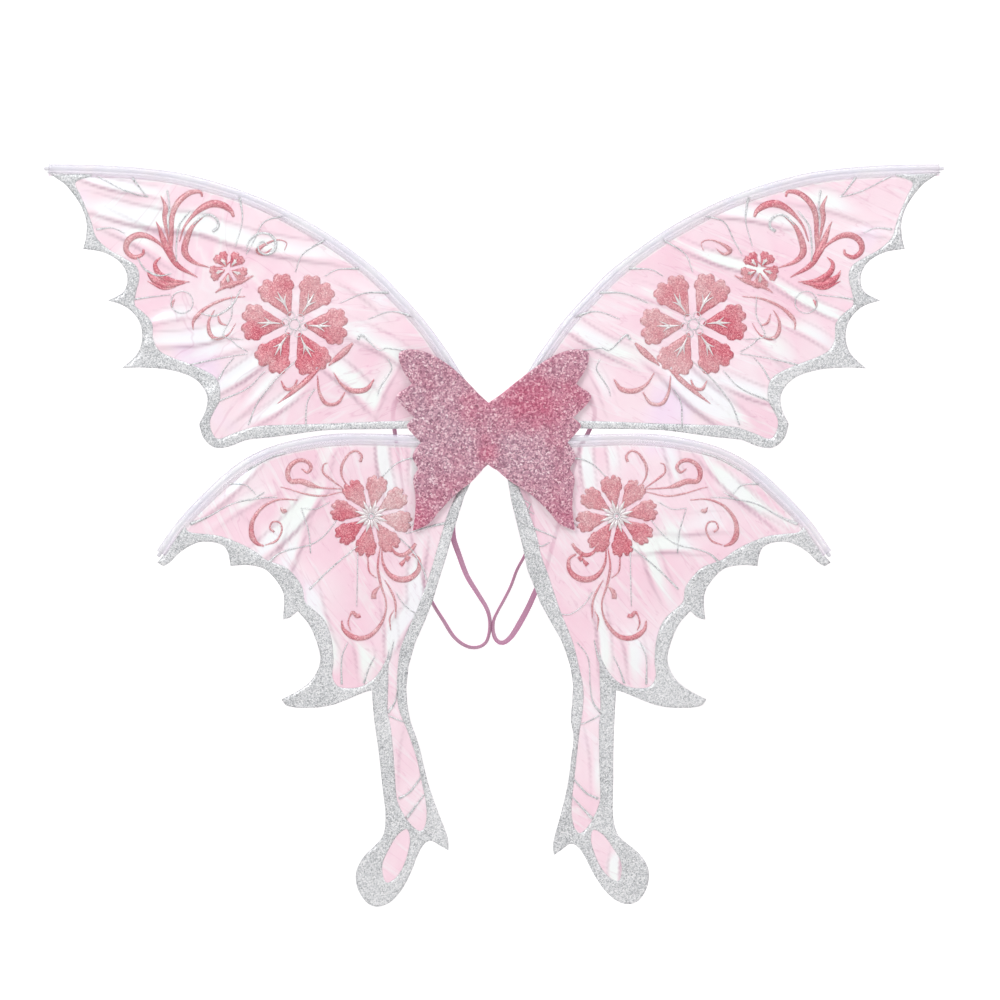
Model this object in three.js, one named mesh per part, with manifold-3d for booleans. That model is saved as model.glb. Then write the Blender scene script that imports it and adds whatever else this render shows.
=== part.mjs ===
// Fairy wings: four film wings on bent wire, gathered in a creased foam hub with two elastic
// shoulder loops. Millimetres, +Z up as worn, +X to the right when the display face is looked at.
// The display face looks along -Y. The origin is the middle of the back pad's rear face, where the
// wings rest on the wearer. Each side folds about its own upright crease beside the centre plane.
import * as THREE from "three";
import { mergeVertices } from "three/addons/utils/BufferGeometryUtils.js";
import Module from "manifold-3d";

const wasm = await Module();
wasm.setup();

// Overall size: the outlines below are drawn for these two and follow them.
const span = 900;
const height = 743;
const drawnSpan = 900;
const drawnHeight = 743;

// Fits
const touchGap = 0.3; // air between pieces that touch
const wireClearance = 0.4; // all round a wire in its casing, plate or cap

// Wires, casings and caps
const wireDiameter = 3;
const casingWall = 0.6;
const casingWidth = 8.5; // across the wing; its depth follows the wire
const capDiameter = 6;
const capBoreDepth = 8;
const capEndWall = 2;
const capRounding = 1.2;

// Skins
const filmThickness = 0.6;
const foamThickness = 2;
const backFoamThickness = 2;

// Spine
const foldOffset = 4; // each crease from the centre plane
const waistHalfHeight = 29; // of the foam at the centre plane
const creaseHalfHeight = 32.5; // of the foam at the creases
const padCoverThickness = 2.5; // of the pad behind the strap tabs
const padHalfWidth = 26;
const padHalfHeight = 25;
const padCornerRadius = 9;

// Shoulder loops and the webbing tabs that hold their ends
const strapDiameter = 4; // round section with the area of the flat elastic, 8 by 1.6
const strapSteps = 76;
const tabLength = 16;
const tabWidth = 11;
const tabThickness = 4;
const pocketReach = 20; // a tab's pocket runs on past the rim of the pad, and lets the strap out
const topTab = { x: 15, z: 13, angle: 0.3 };
const bottomTab = { x: 12, z: -13, angle: -1.08 };

// Fineness of the faceted solids
const wireSides = 8;
const casingSides = 10;
const boreSides = 8;
const capSides = 12;
const upperSteps = 36;
const lowerSteps = 26;
const outlineSegments = 2;
const leadCount = 26;

// Layers of the hub, from the wearer to the display face
const casingDepth = wireDiameter + 2 * (wireClearance + casingWall);
const padRearY = 0;
const tabRearY = padRearY - padCoverThickness - touchGap;
const padFrontY = tabRearY - tabThickness;
const backFoamRearY = padFrontY - touchGap;
const plateRearY = backFoamRearY - backFoamThickness - touchGap;
const plateThickness = casingDepth;
const wireY = plateRearY - plateThickness / 2;
const foamRearY = plateRearY - plateThickness - touchGap;
const foamFrontY = foamRearY - foamThickness;

const colours = {
  film: { color: 0xf9d3de, roughness: 0.2, metalness: 0 },
  casing: { color: 0xe6dff0, roughness: 0.3, metalness: 0 },
  wire: { color: 0xe9e9ee, roughness: 0.4, metalness: 0.4 },
  cap: { color: 0xe4e4ea, roughness: 0.5, metalness: 0 },
  plate: { color: 0xf0f0f0, roughness: 0.5, metalness: 0 },
  glitterFoam: { color: 0xc56a86, roughness: 0.6, metalness: 0 },
  plainFoam: { color: 0xe7a9ba, roughness: 0.9, metalness: 0 },
  webbing: { color: 0xd98fb0, roughness: 0.9, metalness: 0 },
  elastic: { color: 0xdc94b8, roughness: 0.8, metalness: 0 },
};

// ---------------------------------------------------------------- the drawn lines, right-hand side

// Wire of the upper wing, from inside the hub plate to its tip.
const upperWireLine = [
  [13, 21], [39, 62], [51.6, 82], [72.5, 110.5], [95.7, 136], [122.3, 162.5], [167, 195.5],
  [211.7, 221], [249.3, 237.4], [287, 249.4], [322, 257.5], [362, 262], [408, 264.2], [446.6, 264.8],
];

// Wire of the lower wing.
const lowerWireLine = [
  [14, -5.5], [45, -6], [77, -5.6], [148, -4], [190, -8.8], [226, -18.5], [255, -34.5],
  [286, -61.5], [313.5, -91], [334, -120.5],
];

// Free edge of the upper film: each run ends at a cusp.
const upperEdgeRuns = [
  [[427, 248], [413.5, 230], [407, 213], [407, 197], [410, 184.5]],
  [[389.5, 181], [373, 171], [366, 157], [369.5, 142], [385.5, 133]],
  [[368, 127], [355, 114], [351, 97], [356, 80], [371.5, 65.4]],
  [[350, 66], [322, 63.5], [299, 55], [287, 40.5], [287, 26], [294, 10]],
  [[290, -4], [278, -14], [262, -12], [246, -6], [218, -3], [190, 1], [160, 4], [100, 5], [42.5, 6.5]],
];

// Free edge of the lower film: two hooked cusps, a notched one, then the long tail and its bulb.
const lowerEdgeRuns = [
  [[336, -128.5]],
  [[330, -132]],
  [[323, -128], [313, -118], [297, -109], [282, -108], [270, -112], [265, -120], [263, -132]],
  [[247, -131], [231, -134], [220, -143], [211, -157], [209.5, -170], [211, -185.5]],
  [[203, -183], [196, -177]],
  [[184, -191], [175.5, -212], [173.5, -228], [181.5, -245], [195, -256], [212, -265]],
  [[205, -272], [182, -273.5], [159, -270], [132, -259], [122, -256]],
  [[120, -284], [117, -317], [115, -350], [113, -380], [116, -399], [124, -409], [137, -421],
    [145, -436], [144, -452], [136, -466], [125, -471], [112, -467], [100, -455], [90, -438],
    [82, -420], [75, -410], [68, -408], [60, -413], [52, -418]],
  [[52, -405], [60, -380], [69, -350], [76, -313], [81, -280], [83, -254], [82, -232], [79, -216],
    [67, -191], [58, -165], [51, -138], [44, -110], [36, -82], [27, -56], [14, -30], [11, -16]],
  [[42.5, -15.5]],
];
const upperHubEnd = 34; // the upper film starts this far out, clear of the plate
const lowerHubEnd = 45;

// The limp tails hang a little to one side: turned about their root, in radians.
const tailRoot = [100, -275];
const tailSwing = { right: 0.055, left: -0.045 };

const exitStep = 0.1; // fineness of the search for the place where a wire leaves the plate

// Scalloped half of the display foam, from the crease over the top and down to the crease again.
const foamRuns = [
  [[12.5, 41], [37, 62.6], [59, 77.5], [78.5, 84], [92, 82.5], [95, 76], [90.4, 62.6], [82, 50]],
  [[87, 46], [97, 38.6], [93, 30], [79, 16]],
  [[83, 13], [87, 8], [83, 2], [73, -8.7]],
  [[77, -13.5], [81, -21], [80, -27], [75.5, -35]],
  [[80.5, -45], [78.5, -60], [78.5, -78], [81, -96.6]],
  [[65.5, -90], [54, -76.7], [37, -60], [20.5, -48.5], [9, -38]],
];

// Plain foam behind it, cut a little smaller.
const backFoamRuns = [
  [[14, 36], [36, 56], [58, 71], [76, 78], [86, 76], [84, 60], [76, 46], [80, 36], [72, 14]],
  [[77, 6], [68, -9], [72, -22], [70, -36], [72, -56], [73, -84]],
  [[56, -72], [38, -55], [21, -43], [10, -34]],
];

// Plate that clamps the inner ends of both wires.
const plateCorners = [[7, -14], [40, -14], [40, 6], [28, 40], [18, 40], [7, 24]];

// Shoulder loops, from the upper tab round to the lower one: x, y, z.
const rightStrapRoute = [
  [22.9, -4.8, 15.5], [32, -4.3, 18.4], [48, 0, 25], [68, 6, 33], [86, 8, 37.5], [97, 8, 32],
  [101, 8, 19], [95, 8, 3], [85, 8, -16], [78, 8, -42], [70, 8, -72], [61, 8, -103],
  [51, 8, -138], [43, 8, -154], [35.5, 8, -171], [26, 8, -189], [17, 8, -203], [9, 8, -209],
  [2.5, 8, -206.5], [-0.8, 8, -198], [-0.4, 8, -187], [4, 8, -177], [10, 8, -166],
  [17, 8, -152], [23, 8, -136], [31, 8, -121], [38, 6.5, -103], [38, 3.5, -83], [31, -1, -58],
  [21, -4.5, -31], [16, -4.8, -20.7],
];
const leftStrapRoute = [
  [-22.9, -4.8, 15.5], [-32, -4.3, 18.4], [-48, -1, 25], [-68, 2, 34], [-87, 3, 38.5], [-98, 3, 33],
  [-101, 3, 19], [-99, 3, 0], [-95, 3, -28], [-91, 3, -56], [-86, 3, -86], [-80, 3, -115],
  [-72, 3, -144], [-62, 3, -168], [-51, 3, -186], [-40, 3, -203], [-28, 3, -212],
  [-17, 3, -213.5], [-8.5, 3, -209], [-4.8, 3, -199], [-4.2, 3, -186], [-7.5, 3, -174],
  [-16, 3, -160], [-27, 3, -142], [-35, 3, -121], [-41, 2.5, -102], [-41, 1.5, -81],
  [-33, -1, -56], [-21, -4.5, -31], [-16, -4.8, -20.7],
];

// ---------------------------------------------------------------- geometry helpers

const wings = new THREE.Group();

function addMesh(name, geometry, colour) {
  const mesh = new THREE.Mesh(geometry, new THREE.MeshStandardMaterial(colours[colour]));
  mesh.name = name;
  wings.add(mesh);
  return mesh;
}

// A drawn point at the object's own size.
function sized([x, z]) {
  return new THREE.Vector2((x * span) / drawnSpan, (z * height) / drawnHeight);
}

// A closed shape on one side: a run of one point is a straight edge, a longer one a smooth curve.
function outline(start, runs, side) {
  const onSide = (point) => new THREE.Vector2(side * point.x, point.y);
  const shape = new THREE.Shape();
  shape.moveTo(side * start.x, start.y);
  for (const run of runs) {
    if (run.length === 1) shape.lineTo(side * run[0].x, run[0].y);
    else shape.splineThru(run.map(onSide));
  }
  return shape;
}

// A flat sheet cut to a shape: its rear face at rearY, its front face towards the display side.
function sheet(shape, rearY, thickness) {
  const options = { depth: thickness, bevelEnabled: false, curveSegments: outlineSegments };
  const geometry = new THREE.ExtrudeGeometry(shape, options);
  geometry.rotateX(Math.PI / 2);
  geometry.translate(0, rearY, 0);
  return geometry;
}

// The section of a tube: depth along Y and width across the wing, with straight facets.
function section(depth, width, sides) {
  const points = [];
  for (let i = 0; i < sides; i += 1) {
    const angle = (2 * Math.PI * i) / sides;
    points.push(new THREE.Vector2((depth / 2) * Math.cos(angle), (width / 2) * Math.sin(angle)));
  }
  return points;
}

function tube(path, steps, points, borePoints) {
  const shape = new THREE.Shape(points);
  if (borePoints) shape.holes.push(new THREE.Path(borePoints));
  return new THREE.ExtrudeGeometry(shape, { steps, extrudePath: path });
}

// The bent line of a wire on one side.
function wirePath(line, side) {
  const points = line.map(sized).map((point) => new THREE.Vector3(side * point.x, wireY, point.y));
  return new THREE.CatmullRomCurve3(points);
}

// The stretch of a path between two lengths, as a path of its own.
function stretch(path, from, to, count) {
  const length = path.getLength();
  const points = [];
  for (let i = 0; i <= count; i += 1) {
    points.push(path.getPointAt((from + ((to - from) * i) / count) / length));
  }
  return new THREE.CatmullRomCurve3(points);
}

// Points beside a right-hand wire, moved towards the film by the given distance.
function besideWire(path, from, to, distance, count) {
  const length = path.getLength();
  const points = [];
  for (let i = 0; i <= count; i += 1) {
    const u = (from + ((to - from) * i) / count) / length;
    const point = path.getPointAt(u);
    const along = path.getTangentAt(u);
    points.push(new THREE.Vector2(point.x + distance * along.z, point.z - distance * along.x));
  }
  return points;
}

function solid(geometry) {
  const bare = geometry.clone();
  bare.deleteAttribute("normal");
  bare.deleteAttribute("uv");
  const merged = mergeVertices(bare, 1e-4);
  const vertProperties = new Float32Array(merged.attributes.position.array);
  const triVerts = new Uint32Array(merged.index.array);
  return new wasm.Manifold(new wasm.Mesh({ numProp: 3, vertProperties, triVerts }));
}

function geometryOf(manifold) {
  const mesh = manifold.getMesh();
  const geometry = new THREE.BufferGeometry();
  geometry.setAttribute("position", new THREE.BufferAttribute(mesh.vertProperties, 3));
  geometry.setIndex(new THREE.BufferAttribute(mesh.triVerts, 1));
  return geometry;
}

// ---------------------------------------------------------------- one side's wings

// Length along a wire at which its casing ends, just short of the tip cap.
function casingEnd(path) {
  return path.getLength() - (capBoreDepth - wireClearance) - touchGap;
}

// Length along a wire at which the square end of its casing is clear of the plate.
function plateExit(path, outside) {
  const length = path.getLength();
  let along = 0;
  while (along < length) {
    const point = path.getPointAt(along / length);
    const tangent = path.getTangentAt(along / length);
    const across = new THREE.Vector3(tangent.z, 0, -tangent.x).multiplyScalar(casingWidth / 2);
    const corners = [point.clone().add(across), point.clone().sub(across)];
    if (corners.every(outside)) break;
    along += exitStep;
  }
  return along + touchGap;
}

function addWire(name, path, steps) {
  addMesh(name, tube(path, steps, section(wireDiameter, wireDiameter, wireSides)), "wire");
}

function addCasing(name, path, from, steps) {
  const boreDepth = casingDepth - 2 * casingWall;
  const boreWidth = casingWidth - 2 * casingWall;
  const outer = section(casingDepth, casingWidth, casingSides);
  const bore = section(boreDepth, boreWidth, boreSides);
  const run = stretch(path, from, casingEnd(path), steps);
  addMesh(name, tube(run, steps, outer, bore), "casing");
}

// Closed vinyl cap over the end of a wire, turned from one profile.
function addTipCap(name, path) {
  const outer = capDiameter / 2;
  const bore = wireDiameter / 2 + wireClearance;
  const end = capBoreDepth + capEndWall;
  const profile = [
    [0, capBoreDepth], [bore, capBoreDepth], [bore, 0], [outer, 0],
    [outer, end - capRounding], [outer - capRounding, end], [0, end],
  ];
  const points = profile.map(([radius, along]) => new THREE.Vector2(radius, along));
  const cap = addMesh(name, new THREE.LatheGeometry(points, capSides), "cap");
  const tangent = path.getTangentAt(1);
  cap.position.copy(path.getPointAt(1)).addScaledVector(tangent, wireClearance - capBoreDepth);
  cap.quaternion.setFromUnitVectors(new THREE.Vector3(0, 1, 0), tangent);
}

// Points below the tail's root turn about it.
function swung(point, turn) {
  const root = sized(tailRoot);
  return point.y < root.y ? point.clone().rotateAround(root, turn) : point;
}

function addFilm(name, rightPath, hubEnd, edgeRuns, side, tailTurn) {
  const inset = casingWidth / 2 + touchGap;
  const lead = besideWire(rightPath, hubEnd, casingEnd(rightPath), inset, leadCount);
  const edges = edgeRuns.map((run) => run.map((drawn) => swung(sized(drawn), tailTurn)));
  const runs = [lead.slice(1), ...edges];
  const shape = outline(lead[0], runs, side);
  addMesh(name, sheet(shape, wireY + filmThickness / 2, filmThickness), "film");
}

function addPlate(name, upperPath, lowerPath, side) {
  const corners = plateCorners.map(sized);
  const shape = outline(corners[0], corners.slice(1).map((corner) => [corner]), side);
  let plate = solid(sheet(shape, plateRearY, plateThickness));
  const channel = wireDiameter + 2 * wireClearance;
  for (const path of [upperPath, lowerPath]) {
    const run = stretch(path, 0, path.getLength() / 4, upperSteps / 4);
    const start = run.getPointAt(0);
    const back = start.clone().addScaledVector(run.getTangentAt(0), -wireClearance);
    run.points[0].copy(back);
    plate = plate.subtract(solid(tube(run, upperSteps / 4, section(channel, channel, wireSides))));
  }
  addMesh(name, geometryOf(plate), "plate");
}

// Foam half on one side: straight along the crease, scalloped everywhere else.
function addFoamHalf(name, runs, layer, side, colour) {
  const inner = foldOffset + touchGap / 2;
  const top = new THREE.Vector2(inner, layer.crease);
  const bottom = new THREE.Vector2(inner, -layer.crease);
  const drawn = runs.map((run) => run.map(sized));
  drawn[drawn.length - 1].push(bottom);
  addMesh(name, sheet(outline(top, drawn, side), layer.rearY, layer.thickness), colour);
}

function addSide(word, side) {
  const upperPath = wirePath(upperWireLine, side);
  const lowerPath = wirePath(lowerWireLine, side);
  const upperOut = plateExit(upperPath, (corner) => corner.z > sized(plateCorners[3]).y);
  const lowerOut = plateExit(lowerPath, (corner) => side * corner.x > sized(plateCorners[1]).x);
  addWire(`${word}_upper_wire`, upperPath, upperSteps);
  addWire(`${word}_lower_wire`, lowerPath, lowerSteps);
  addCasing(`${word}_upper_casing`, upperPath, upperOut, upperSteps);
  addCasing(`${word}_lower_casing`, lowerPath, lowerOut, lowerSteps);
  addTipCap(`${word}_upper_tip_cap`, upperPath);
  addTipCap(`${word}_lower_tip_cap`, lowerPath);
  const [rightUpper, rightLower] = [wirePath(upperWireLine, 1), wirePath(lowerWireLine, 1)];
  addFilm(`${word}_upper_film`, rightUpper, upperHubEnd, upperEdgeRuns, side, 0);
  addFilm(`${word}_lower_film`, rightLower, lowerHubEnd, lowerEdgeRuns, side, tailSwing[word]);
  addPlate(`${word}_wire_plate`, upperPath, lowerPath, side);
  const front = { crease: creaseHalfHeight, rearY: foamRearY, thickness: foamThickness };
  const back = { crease: waistHalfHeight, rearY: backFoamRearY, thickness: backFoamThickness };
  addFoamHalf(`${word}_front_foam`, foamRuns, front, side, "glitterFoam");
  addFoamHalf(`${word}_back_foam`, backFoamRuns, back, side, "plainFoam");
}

// ---------------------------------------------------------------- spine and shoulder loops

function creaseShape(waist, edge) {
  const half = foldOffset - touchGap / 2;
  const corners = [[-half, -edge], [0, -waist], [half, -edge], [half, edge], [0, waist], [-half, edge]];
  return new THREE.Shape(corners.map(([x, z]) => new THREE.Vector2(x, z)));
}

// The strip of display foam between the creases, and the stitched webbing core behind it.
function addSpine() {
  const crease = creaseShape(waistHalfHeight, creaseHalfHeight);
  addMesh("front_crease", sheet(crease, foamRearY, foamThickness), "glitterFoam");
  const coreHalfHeight = waistHalfHeight - 1;
  const core = creaseShape(coreHalfHeight, coreHalfHeight);
  const coreThickness = backFoamRearY - (foamRearY + touchGap);
  addMesh("spine_webbing", sheet(core, backFoamRearY, coreThickness), "webbing");
}

// A box that lies along a tab: its length, its middle ahead of the tab's, its width, rear and depth.
function boxAlongTab(place, side, box) {
  const geometry = new THREE.BoxGeometry(box.length, box.thickness, box.width);
  geometry.translate(side * box.ahead, 0, 0);
  geometry.rotateY(-side * place.angle);
  geometry.translate(side * place.x, box.rearY - box.thickness / 2, place.z);
  return geometry;
}

// Folded webbing tab, pointing the way its strap leaves.
function addTab(name, place, side) {
  const box = { length: tabLength, ahead: 0, width: tabWidth, rearY: tabRearY, thickness: tabThickness };
  addMesh(name, boxAlongTab(place, side, box), "webbing");
}

// Pocket in the front of the pad that a tab lies in, open at the rim for its strap.
function tabPocket(place, side) {
  const box = {
    length: tabLength + touchGap + pocketReach,
    ahead: (pocketReach - touchGap) / 2,
    width: tabWidth + 2 * touchGap,
    rearY: tabRearY + touchGap,
    thickness: tabThickness + 2 * touchGap,
  };
  return solid(boxAlongTab(place, side, box));
}

function addBackPad() {
  const x = padHalfWidth;
  const z = padHalfHeight;
  const r = padCornerRadius;
  const shape = new THREE.Shape();
  shape.moveTo(x, r - z);
  shape.lineTo(x, z - r);
  shape.absarc(x - r, z - r, r, 0, Math.PI / 2);
  shape.absarc(r - x, z - r, r, Math.PI / 2, Math.PI);
  shape.absarc(r - x, r - z, r, Math.PI, Math.PI * 1.5);
  shape.absarc(x - r, r - z, r, Math.PI * 1.5, Math.PI * 2);
  const options = { depth: padRearY - padFrontY, bevelEnabled: false, curveSegments: 5 };
  const geometry = new THREE.ExtrudeGeometry(shape, options);
  geometry.rotateX(Math.PI / 2);
  geometry.translate(0, padRearY, 0);
  let pad = solid(geometry);
  for (const side of [1, -1]) {
    pad = pad.subtract(tabPocket(topTab, side)).subtract(tabPocket(bottomTab, side));
  }
  addMesh("back_pad", geometryOf(pad), "plainFoam");
}

function addStrap(name, route) {
  const path = new THREE.CatmullRomCurve3(route.map(([x, y, z]) => new THREE.Vector3(x, y, z)));
  const strap = tube(path, strapSteps, section(strapDiameter, strapDiameter, wireSides));
  addMesh(name, strap, "elastic");
}

addSide("right", 1);
addSide("left", -1);
addSpine();
addBackPad();
for (const [word, side] of [["right", 1], ["left", -1]]) {
  addTab(`${word}_top_tab`, topTab, side);
  addTab(`${word}_bottom_tab`, bottomTab, side);
}
addStrap("right_strap", rightStrapRoute);
addStrap("left_strap", leftStrapRoute);

export default wings;
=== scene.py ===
# Fairy wings: pearl film on coated wire, glitter prints, a creased foam hub and elastic shoulder loops
import math
import bpy
import numpy as np
from mathutils import Matrix, Vector, kdtree
from mathutils.geometry import delaunay_2d_cdt


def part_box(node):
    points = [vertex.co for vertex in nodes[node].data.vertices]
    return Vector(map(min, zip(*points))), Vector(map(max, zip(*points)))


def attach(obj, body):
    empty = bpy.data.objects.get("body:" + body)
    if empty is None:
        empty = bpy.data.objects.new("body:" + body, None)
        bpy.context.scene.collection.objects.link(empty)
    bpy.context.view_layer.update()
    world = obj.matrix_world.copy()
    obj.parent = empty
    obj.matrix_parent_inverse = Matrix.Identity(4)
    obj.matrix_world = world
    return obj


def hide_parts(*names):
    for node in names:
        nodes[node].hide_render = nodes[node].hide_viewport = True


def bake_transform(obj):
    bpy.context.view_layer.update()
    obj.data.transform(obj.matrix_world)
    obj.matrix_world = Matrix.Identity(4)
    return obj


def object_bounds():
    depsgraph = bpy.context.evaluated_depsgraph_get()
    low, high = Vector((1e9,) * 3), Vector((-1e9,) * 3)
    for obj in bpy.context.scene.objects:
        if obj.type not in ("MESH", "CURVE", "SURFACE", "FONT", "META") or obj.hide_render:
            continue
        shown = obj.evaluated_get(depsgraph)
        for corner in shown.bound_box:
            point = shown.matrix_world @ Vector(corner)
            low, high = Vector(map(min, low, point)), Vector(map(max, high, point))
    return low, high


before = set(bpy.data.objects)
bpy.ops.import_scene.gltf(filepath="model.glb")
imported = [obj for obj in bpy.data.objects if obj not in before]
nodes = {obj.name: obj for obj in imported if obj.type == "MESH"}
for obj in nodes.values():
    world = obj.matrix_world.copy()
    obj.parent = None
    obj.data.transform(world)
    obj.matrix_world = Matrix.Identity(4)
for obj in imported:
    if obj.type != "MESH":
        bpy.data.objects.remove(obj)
cadLow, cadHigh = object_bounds()
mm = 0.001
sides = {"right": 1, "left": -1}
# wires and film share one plane
filmY = (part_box("right_upper_wire")[0].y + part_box("right_upper_wire")[1].y) / 2
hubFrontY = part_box("front_crease")[0].y
print("frame loaded,", len(nodes), "nodes")

# camera, square on to the display face, from far enough to look almost flat
cameraSet = {"place": (0.006, -6.0, -0.066), "lens": 216}
bpy.ops.object.camera_add(location=cameraSet["place"], rotation=(math.radians(90), 0, 0))
camera = bpy.context.object
camera.data.lens = cameraSet["lens"]
camera.data.clip_end = 60
bpy.context.scene.camera = camera


# small tools
mixA, mixB, mixed = 6, 7, 2  # the colour sockets of a Mix node


def hexColour(text):
    channels = [int(text[i:i + 2], 16) / 255 for i in (0, 2, 4)]
    return tuple(c / 12.92 if c <= 0.04045 else ((c + 0.055) / 1.055) ** 2.4 for c in channels) + (1.0,)


def newMaterial(name):
    material = bpy.data.materials.new(name)
    material.use_nodes = True
    material.node_tree.nodes.clear()
    return material


# keys are socket names or numbers, or the node's own fields
def addNode(material, kind, settings, links=None):
    node = material.node_tree.nodes.new(kind)
    for name, value in settings.items():
        if isinstance(name, int) or name in node.inputs:
            node.inputs[name].default_value = value
        else:
            setattr(node, name, value)
    for name, source in (links or {}).items():
        material.node_tree.links.new(source, node.inputs[name])
    return node


def rampStops(node, stops):  # colours along a ramp, from (place, hex) pairs
    elements = node.color_ramp.elements
    while len(elements) < len(stops):
        elements.new(1.0)
    for element, (place, colour) in zip(elements, stops):
        element.position = place
        element.color = hexColour(colour)


def deselectAll():
    bpy.ops.object.select_all(action="DESELECT")
    bpy.context.view_layer.objects.active = None


def makeActive(piece):
    deselectAll()
    piece.select_set(True)
    bpy.context.view_layer.objects.active = piece


def applyModifier(piece, kind, **settings):
    makeActive(piece)
    modifier = piece.modifiers.new(kind.title(), kind)
    for name, value in settings.items():
        setattr(modifier, name, value)
    bpy.ops.object.modifier_apply(modifier=modifier.name)


def meshPiece(name, verts, faces, material):
    mesh = bpy.data.meshes.new(name)
    mesh.from_pydata([tuple(v) for v in verts], [], [tuple(int(i) for i in f) for f in faces])
    mesh.materials.append(material)
    mesh.validate()
    piece = bpy.data.objects.new(name, mesh)
    bpy.context.scene.collection.objects.link(piece)
    mesh.polygons.foreach_set("use_smooth", [True] * len(mesh.polygons))
    return piece


def facesOutward(piece):
    makeActive(piece)
    bpy.ops.object.mode_set(mode="EDIT")
    bpy.ops.mesh.select_all(action="SELECT")
    bpy.ops.mesh.normals_make_consistent(inside=False)
    bpy.ops.object.mode_set(mode="OBJECT")


def pointValues(piece, name, values):  # a share from 0 to 1 at each point, for the material to read
    layer = piece.data.attributes.new(name, "FLOAT", "POINT")
    layer.data.foreach_set("value", np.clip(values, 0, 1).astype(np.float32))


def flatPlaces(piece):  # where each point lies, (x, z) in mm
    return np.array([(v.co.x / mm, v.co.z / mm) for v in piece.data.vertices])


def spotted(places, base, spots):  # a tone that deepens round each spot: x, z, reach in mm, how much
    tone = np.full(len(places), base)
    for x, z, reach, more in spots:
        tone += more * np.exp(-((places[:, 0] - x) ** 2 + (places[:, 1] - z) ** 2) / reach ** 2)
    return tone


def curveThrough(points, step):  # a rounded line through given points, at even steps
    p = np.array(points, float)
    ends = np.vstack([2 * p[0] - p[1], p, 2 * p[-1] - p[-2]])
    out = [p[0]]
    for i in range(len(p) - 1):
        a, b, c, d = ends[i:i + 4]
        count = max(2, int(round(np.linalg.norm((c - b)[:3]) / step)))
        for k in range(1, count + 1):
            t = k / count
            out.append(0.5 * (2 * b + (c - a) * t + (2 * a - 5 * b + 4 * c - d) * t * t
                              + (3 * b - a - 3 * c + d) * t ** 3))
    return np.array(out)


def lengths(line):  # distance run at each point of a line
    return np.concatenate([[0], np.cumsum(np.linalg.norm(np.diff(line, axis=0), axis=1))])


def smoothstep(low, high, value):
    t = np.clip((value - low) / (high - low), 0, 1)
    return t * t * (3 - 2 * t)


# materials
def elasticMaterial():  # knitted elastic: matte, ribbed lengthwise, mauve pink, with painted shade in the grooves and painted light on the rib tops
    material = newMaterial("knittedElastic")
    uv = addNode(material, "ShaderNodeUVMap", {"uv_map": "weave"})
    ribs = addNode(material, "ShaderNodeTexWave",
                   {"bands_direction": "Y", "Scale": 1.6, "Distortion": 0.4},
                   {"Vector": uv.outputs["UV"]})
    picks = addNode(material, "ShaderNodeTexWave",
                    {"bands_direction": "X", "Scale": 2.2, "Distortion": 0.6},
                    {"Vector": uv.outputs["UV"]})
    both = addNode(material, "ShaderNodeMath", {"operation": "MULTIPLY"},
                   {0: ribs.outputs["Fac"], 1: picks.outputs["Fac"]})
    # painted shade and light: the ramp darkens the grooves and lightens the rib tops that the bump raises
    ramp = addNode(material, "ShaderNodeValToRGB", {}, {"Fac": both.outputs[0]})
    rampStops(ramp, [(0.0, "b9769c"), (0.45, "cf93b5"), (1.0, "e6bdd2")])
    bump = addNode(material, "ShaderNodeBump", {"Strength": 0.5, "Distance": 0.0002},
                   {"Height": both.outputs[0]})
    shader = addNode(material, "ShaderNodeBsdfPrincipled", {"Roughness": 0.75, "Sheen Weight": 0.4},
                     {"Base Color": ramp.outputs["Color"], "Normal": bump.outputs["Normal"]})
    addNode(material, "ShaderNodeOutputMaterial", {}, {"Surface": shader.outputs[0]})
    return material


elastic = elasticMaterial()

# shoulder loops: flat elastic, sewn in at the tabs, lying edge on where it swings free
strapSet = {"width": 8 * mm, "thickness": 1.6 * mm, "step": 3}
rightStrapRoute = [
    (22.9, -4.8, 15.5), (32, -4.3, 18.4), (48, 0, 25), (68, 6, 33), (86, 8, 37.5), (97, 8, 32),
    (101, 8, 19), (95, 8, 3), (85, 8, -16), (78, 8, -42), (70, 8, -72), (61, 8, -103), (51, 8, -138),
    (43, 8, -154), (35.5, 8, -171), (26, 8, -189), (17, 8, -203), (9, 8, -209), (2.5, 8, -206.5),
    (-0.8, 8, -198), (-0.4, 8, -187), (4, 8, -177), (10, 8, -166), (17, 8, -152), (23, 8, -136),
    (31, 8, -121), (38, 6.5, -103), (38, 3.5, -83), (31, -1, -58), (21, -4.5, -31), (16, -4.8, -20.7),
]
leftStrapRoute = [
    (-22.9, -4.8, 15.5), (-32, -4.3, 18.4), (-48, -1, 25), (-68, 2, 34), (-87, 3, 38.5), (-98, 3, 33),
    (-101, 3, 19), (-99, 3, 0), (-95, 3, -28), (-91, 3, -56), (-86, 3, -86), (-80, 3, -115),
    (-72, 3, -144), (-62, 3, -168), (-51, 3, -186), (-40, 3, -203), (-28, 3, -212), (-17, 3, -213.5),
    (-8.5, 3, -209), (-4.8, 3, -199), (-4.2, 3, -186), (-7.5, 3, -174), (-16, 3, -160), (-27, 3, -142),
    (-35, 3, -121), (-41, 2.5, -102), (-41, 1.5, -81), (-33, -1, -56), (-21, -4.5, -31),
    (-16, -4.8, -20.7),
]
strapTurns = {  # share of the way along, and degrees turned on edge
    "right": [(0, 0), (0.05, 5), (0.16, 62), (0.3, 74), (0.46, 66), (0.52, 54), (0.58, 50), (0.63, 66),
              (0.68, 76), (0.84, 76), (0.95, 8), (1, 0)],
    "left": [(0, 0), (0.05, 5), (0.16, 62), (0.3, 80), (0.46, 76), (0.56, 68), (0.66, 74), (0.76, 60),
             (0.84, 52), (0.95, 8), (1, 0)],
}


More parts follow.
